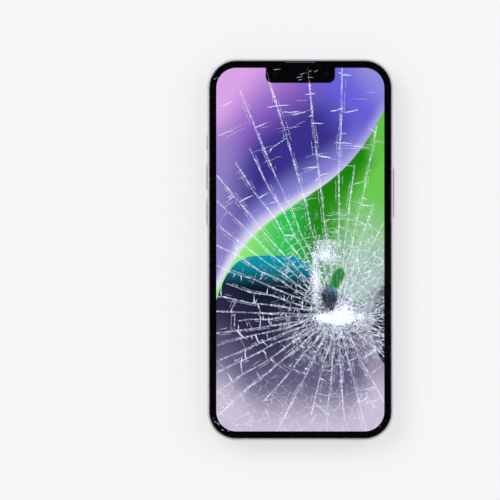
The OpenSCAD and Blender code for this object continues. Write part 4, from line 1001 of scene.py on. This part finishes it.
def hairline(mesh, run):
    """A thin crack beside a stretch of a main one, with short rungs across to it."""
    offset = random.uniform(0.3, 1.15)
    drift = random.uniform(-0.25, 0.25)
    shares = [k / (len(run) - 1) for k in range(len(run))]
    line = [p + way * (offset + drift * t + 0.12 * (weave(p, 0.8, 5.0) - 0.5))
            for t, (p, way, _, _) in zip(shares, run)]
    straight = all((b - a).length < 2.2 * STEP for a, b in zip(line, line[1:]))
    roomy = min(room for _, _, room, _ in run) > 2.2 * (offset + 0.3)
    if not (straight and roomy and all(over_picture(p) for p in line)):
        return
    widths = [(0.035 + 0.055 * weave(p, 1.6, 7.0)) * taper(t, 6) for p, t in zip(line, shares)]
    ridge(mesh, line, widths, [level for _, _, _, level in run], 0.03)
    for k in range(random.randint(2, 12), len(run) - 1, random.randint(7, 15)):
        foot, _, _, level = run[k]
        rung = [foot, foot.lerp(line[k], 0.5), line[k]]
        ridge(mesh, rung, [0.07, 0.05, 0.03], [level] * 3, 0.03)


def hairlines():
    """Thin cracks: beside the main ones in broken stretches, and in arcs round the impact."""
    mesh = bmesh.new()
    for side in CRACK_SIDES:
        i = 0
        while i < len(side) - 5:
            run = side[i:i + random.randint(5, 26)]
            away = (run[0][0] - IMPACT).length if run[0] else OPEN_WAY
            likely = 0.24 + 0.16 * math.exp(-away / 30)
            if None in run or random.random() > likely:
                i += random.randint(3, 9)
                continue
            hairline(mesh, run)
            i += len(run)
    for _ in range(THIN_ARCS):
        reach, turn = random.uniform(34, 98), random.uniform(0.9, 2.7)
        arc(mesh, reach, turn, random.uniform(0.04, 0.16), random.uniform(-0.2, 0.2), 0.055)
    for k in range(CLOSE_ARCS):
        reach = CLOSE_ARCS_FROM + CLOSE_ARCS_GAP * k + random.uniform(-0.5, 0.5)
        turn = random.uniform(0.85, 1.95)
        arc(mesh, reach, turn, random.uniform(0.22, 0.5), random.uniform(-0.08, 0.08), 0.085)
    # Hairlines and thin arcs carry a faint painted glow of 0.08
    finish = splinter_glass("hairline_glass", 0.22, 0.08)
    return built("glass_hairlines", mesh, [finish])


def corner_chips():
    """Small chips out of the glass over the border, by its corners and in the notch."""
    mesh = bmesh.new()
    for _ in range(NOTCH_CHIPS):
        point = Vector((random.uniform(-NOTCH_X, NOTCH_X),
                        LIT_Y - random.uniform(0.6, NOTCH_H - 1)))
        length, heading = random.uniform(0.8, 3.2), random.uniform(-0.3, 0.6)
        line = [point + step_at(heading) * length * k / 4 for k in range(5)]
        if line[-1].x < NOTCH_X:
            ridge(mesh, line, [0.03, 0.14, 0.1, 0.06, 0.02], [GLASS_TOP - 0.06] * 5, 0.05)
    for right, up, count in CORNER_CHIPS:
        for _ in range(count):
            angle = random.uniform(0.15, 1.2)
            arm = step_at(angle) * (CORNER_R - random.uniform(1.0, 2.4))
            point = Vector((right * (GLASS_HIGH.x - CORNER_R + arm.x),
                            up * (GLASS_HIGH.y - CORNER_R + arm.y)))
            heading = random.uniform(0, math.pi)
            size, stretch = random.uniform(0.15, 0.42), random.uniform(1.0, 2.2)
            crumb(mesh, point, size, GLASS_TOP - 0.01, 0.1, stretch, heading)
    return built("corner_chips", mesh, [chip_glass("chip_glass")])


def splinter_glass(name, least, glow):
    """Loose glass on the face: white with a painted glow of strength glow, clearer in places, dim
    over the border.
    """
    f = Finish(name)
    x, y, _ = f.xyz()
    mottle = f.grain(1.6, 3.0).rise(0.34, 0.62)
    white = (least + mottle * (0.97 - least)) * visible_share(f, x, y)
    # Painted glow on the white share, at strength glow
    return f.surface(f.mixed(white, glass_reflection(f), frosted_glass(f, mottle, glow)))


def chip_glass(name):
    """Chips over the border: dim, half clear, with no light from under them."""
    f = Finish(name)
    mottle = f.grain(1.6, 3.0).rise(0.34, 0.62)
    white = 0.2 + mottle * 0.4
    return f.surface(f.mixed(white, glass_reflection(f), frosted_glass(f, mottle, 0.0)))


# ------------------------------------------------------------------ the back and its cameras


def back_glass(name):
    """Lilac glass: glossy over the back, satin on the raised camera square."""
    f = Finish(name)
    _, _, z = f.xyz()
    raised = z.rise(BACK_LOW.z + 1.0, BACK_LOW.z + 0.8)
    smudge = f.grain(0.05, 4.0).rise(0.40, 0.75)
    speckle = f.grain(10.0, 1.0)
    shade = f.blend(smudge * 0.25, LILAC_GLASS, colour(238, 230, 240))
    roughness = 0.07 + smudge * 0.05 + raised * 0.24 + speckle * 0.02
    normal = f.bump(speckle * raised, 0.1, 0.01)
    return f.surface(f.principled(shade, roughness, 0.0, Normal=normal))


def lens_window(name):
    """Dark coated cover over a lens: what is under it shows faintly."""
    f = Finish(name)
    smudge = f.grain(0.5, 3.0)
    gloss = f.principled(colour(6, 6, 10), 0.03 + smudge * 0.03, 0.0, Coat_Weight=1.0)
    share = Value(f, f.node("ShaderNodeFresnel", None, {"IOR": 1.52}).outputs[0])
    return f.surface(f.mixed((share + 0.22 + smudge * 0.06).at_most(1.0), f.clear(), gloss))


def coated_lens(name, centre):
    """Front lens with a coloured anti-glare coating."""
    f = Finish(name)
    x, y, _ = f.xyz()
    radius = hypotenuse(x - centre.x, y - centre.y)
    tint = f.blend(radius.rise(0.2, 2.4), colour(14, 20, 52), colour(58, 26, 84))
    return f.surface(f.principled(tint, 0.04 + radius * 0.01, 0.0, Coat_Weight=1.0))


def stepped_black(name, centre, light=colour(18, 18, 22)):
    """Black lens hood with fine rings that stop stray light."""
    f = Finish(name)
    x, y, _ = f.xyz()
    radius = hypotenuse(x - centre.x, y - centre.y)
    rings = f.maths("SINE", radius * 15.0) * 0.5 + 0.5
    shade = f.blend(rings, colour(3, 3, 5), light)
    return f.surface(f.principled(shade, 0.42 + rings * 0.1, 0.0, Specular_IOR_Level=0.02,
                                  Normal=f.bump(rings, 0.6, 0.05)))


def ribbed_window(name, centre):
    """Flash diffuser: clear plastic with rings moulded into it."""
    f = Finish(name)
    x, y, _ = f.xyz()
    radius = hypotenuse(x - centre.x, y - centre.y)
    rings = f.maths("SINE", radius * 9.0) * 0.5 + 0.5
    shade = f.blend(radius.rise(2.0, 0.4), colour(240, 236, 228), colour(244, 226, 150))
    return f.surface(f.principled(shade, 0.18 + rings * 0.08, 0.0, Normal=f.bump(rings, 0.5, 0.06)))


# ------------------------------------------------------------------ which finish each piece has


def centre_of(node):
    """The middle of a node's box."""
    low, high = millimetres(node)
    return (low + high) / 2


def dress(finish, *nodes):
    """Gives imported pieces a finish."""
    for node in nodes:
        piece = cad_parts[node]
        if not piece.data.materials:
            piece.data.materials.append(None)
        for slot in piece.material_slots:
            slot.link = "OBJECT"
            slot.material = finish


def dress_phone():
    """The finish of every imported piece."""
    band = anodised_metal("anodised_band", LILAC_METAL, LILAC_METAL_LIGHT)
    keys = anodised_metal("anodised_keys", colour(205, 199, 212), LILAC_METAL_LIGHT)
    steel = rolled_steel("sheet_steel", colour(190, 190, 196))
    cans = rolled_steel("shield_steel", colour(176, 178, 184), lengthwise=False)
    black = moulded_plastic("black_plastic", colour(26, 26, 29))
    dress(band, "mid_frame")
    dress(keys, "side_button", "volume_up_button", "volume_down_button", "ring_switch", "sim_tray")
    dress(anodised_metal("anodised_screws", colour(176, 170, 184), LILAC_METAL), "end_screws")
    dress(moulded_plastic("strip_plastic", LILAC_PLASTIC, 0.45, 9.0), "antenna_strips")
    dress(moulded_plastic("seal_plastic", colour(170, 164, 180), 0.6), "rear_seal")
    dress(black_border("printed_black"), "border_print")
    dress(lit_picture("lit_picture"), "display_panel")
    dress(black, "display_carrier", "earpiece_speaker", "light_sensor", "bottom_speaker")
    dress(steel, "display_backplate", "sensor_bracket", "haptic_case", "side_button_switch",
          "volume_switches", "rear_microphone", "camera_bracket", "sim_reader")
    dress(cans, "board_shields")
    dress(rolled_steel("port_steel", colour(120, 120, 126)), "charge_port")
    dress(rolled_steel("screw_steel", colour(168, 168, 172)), "inner_screws")
    dress(woven_mesh("woven_mesh", colour(92, 92, 98)), "earpiece_mesh", "sound_meshes")
    dress(circuit_resin("circuit_resin"), "logic_board")
    dress(moulded_plastic("connector_plastic", colour(60, 52, 44), 0.4), "board_connectors")
    dress(battery_skin("battery_skin"), "battery")
    dress(moulded_plastic("adhesive_film", colour(236, 236, 232), 0.6, 2.0), "battery_adhesive")
    dress(plated_contact("ribbon_copper", colour(190, 118, 74)), "display_flex", "battery_cable")
    dress(plated_contact("gold_contact", colour(220, 184, 104)),
          "port_contacts", "bottom_microphone")
    dress(moulded_plastic("orange_plastic", colour(222, 104, 40), 0.45), "ring_switch_base")
    dress(soft_rubber("tray_rubber", colour(60, 60, 64)), "sim_tray_seal")
    dress(sintered_metal("dense_metal", colour(124, 124, 128)), "haptic_mass")
    dress(back_glass("back_glass"), "rear_glass")
    dress(moulded_plastic("flash_phosphor", colour(236, 214, 92), 0.6, 3.0), "flash_board")
    dress(ribbed_window("flash_window", centre_of("flash_window")), "flash_window")
    dress(coil_copper("coil_copper", centre_of("charging_coil")), "charging_coil")
    dress(moulded_plastic("ferrite_sheet", colour(52, 52, 56), 0.7), "coil_shield")
    dress(plated_contact("magnet_plate", colour(168, 168, 172)), "magnet_ring")
    for name, sensor in (("sensor_black", "front_camera"), ("infrared_black", "infrared_camera"),
                         ("projector_black", "dot_projector")):
        dress(stepped_black(name, centre_of(sensor), colour(9, 9, 12)), sensor)
    window = lens_window("lens_window")
    for lens in ("wide", "main"):
        centre = centre_of(f"{lens}_lens_ring")
        dress(polished_ring(f"{lens}_ring_metal", centre), f"{lens}_lens_ring")
        hood = stepped_black(f"{lens}_hood_black", centre)
        dress(hood, f"{lens}_camera_housing", f"{lens}_lens_barrel")
        dress(coated_lens(f"{lens}_coated_lens", centre), f"{lens}_lens_glass")
        dress(window, f"{lens}_lens_cover")
        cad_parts[f"{lens}_lens_cover"].visible_shadow = False


# ------------------------------------------------------------------ floor, light and camera

BACKDROP = screen_level(247)
AMBIENT = 0.70
FLOOR_GAP = 0.02        # between the phone and the floor
FRAME_W = 192.25        # what the camera sees from side to side
PHONE_RIGHT = 19.36     # how far right of the camera the phone's middle lies
PHONE_UP = 0.15         # and how far up


def lay_floor():
    """A pale floor that isn't there from below, so that the phone's back shows."""
    mesh = bmesh.new()
    bmesh.ops.create_grid(mesh, x_segments=1, y_segments=1, size=3.0)
    data = bpy.data.meshes.new("floor")
    mesh.to_mesh(data)
    mesh.free()
    f = Finish("floor_paper")
    tone = (BACKDROP, BACKDROP, BACKDROP, 1)
    matt = f.node("ShaderNodeBsdfDiffuse", None, {"Color": tone}).outputs[0]
    bright = f.node("ShaderNodeEmission", None, {"Color": tone, "Strength": 1.0}).outputs[0]
    path = f.node("ShaderNodeLightPath")
    seen = Value(f, path.outputs["Is Camera Ray"]) + Value(f, path.outputs["Is Glossy Ray"])
    seen = (seen + Value(f, path.outputs["Is Transmission Ray"])).at_most(1.0)
    paper = f.mixed(seen * 0.45, matt, bright)
    below = f.node("ShaderNodeNewGeometry").outputs["Backfacing"]
    data.materials.append(f.surface(f.mixed(below, paper, f.clear())))
    floor = bpy.data.objects.new("floor", data)
    floor.location.z = CAD_BOX[0].z - FLOOR_GAP * MM
    bpy.context.scene.collection.objects.link(floor)
    floor.visible_diffuse = False


def light_world():
    """Even room light; what is seen or mirrored is the pale backdrop, with a dark gap overhead."""
    world = bpy.data.worlds.new("studio")
    bpy.context.scene.world = world
    f = Finish("studio", world)
    path = f.node("ShaderNodeLightPath")
    seen = Value(f, path.outputs["Is Camera Ray"])
    mirrored = Value(f, path.outputs["Is Glossy Ray"])
    through = Value(f, path.outputs["Is Transmission Ray"])
    direction = f.node("ShaderNodeTexCoord").outputs["Generated"]
    _, _, up = f.xyz(direction)
    overhead = up.rise(0.80, 0.97) * mirrored
    backdrop = BACKDROP * (1.0 - overhead * 0.97)
    strength = AMBIENT + (backdrop - AMBIENT) * (seen + mirrored + through).at_most(1.0)
    glow = f.node("ShaderNodeBackground", None, {"Color": WHITE, "Strength": strength})
    f.surface(glow.outputs[0])


def hang_lamp(name, azimuth, elevation, share, spread):
    """A broad lamp; share is how much of a white floor's brightness it gives."""
    data = bpy.data.lights.new(name, "SUN")
    data.angle = math.radians(spread)
    rise, turn = math.radians(elevation), math.radians(azimuth)
    data.energy = share * math.pi / math.sin(rise)
    lamp = bpy.data.objects.new(name, data)
    flat = math.cos(rise)
    toward_lamp = Vector((math.sin(turn) * flat, math.cos(turn) * flat, math.sin(rise)))
    lamp.rotation_euler = toward_lamp.to_track_quat("Z", "Y").to_euler()
    bpy.context.scene.collection.objects.link(lamp)


def set_camera():
    """A long lens straight above the phone, which lies to the right of the frame's middle."""
    data = bpy.data.cameras.new("camera")
    data.sensor_width = 36.0
    data.lens = 400.0
    distance = FRAME_W * data.lens / data.sensor_width
    camera = bpy.data.objects.new("camera", data)
    camera.location = Vector((-PHONE_RIGHT, -PHONE_UP, GLASS_TOP + distance)) * MM
    data.clip_end = 10.0
    bpy.context.scene.collection.objects.link(camera)
    bpy.context.scene.camera = camera


bpy.context.scene.view_settings.view_transform = "Standard"
set_camera()
lay_floor()
light_world()
hang_lamp("key_lamp", -50, 50, 0.20, 40)
hang_lamp("fill_lamp", 70, 48, 0.10, 50)
dress_phone()
shattered_glass()
hairlines()
splinters()
crumbs()
corner_chips()
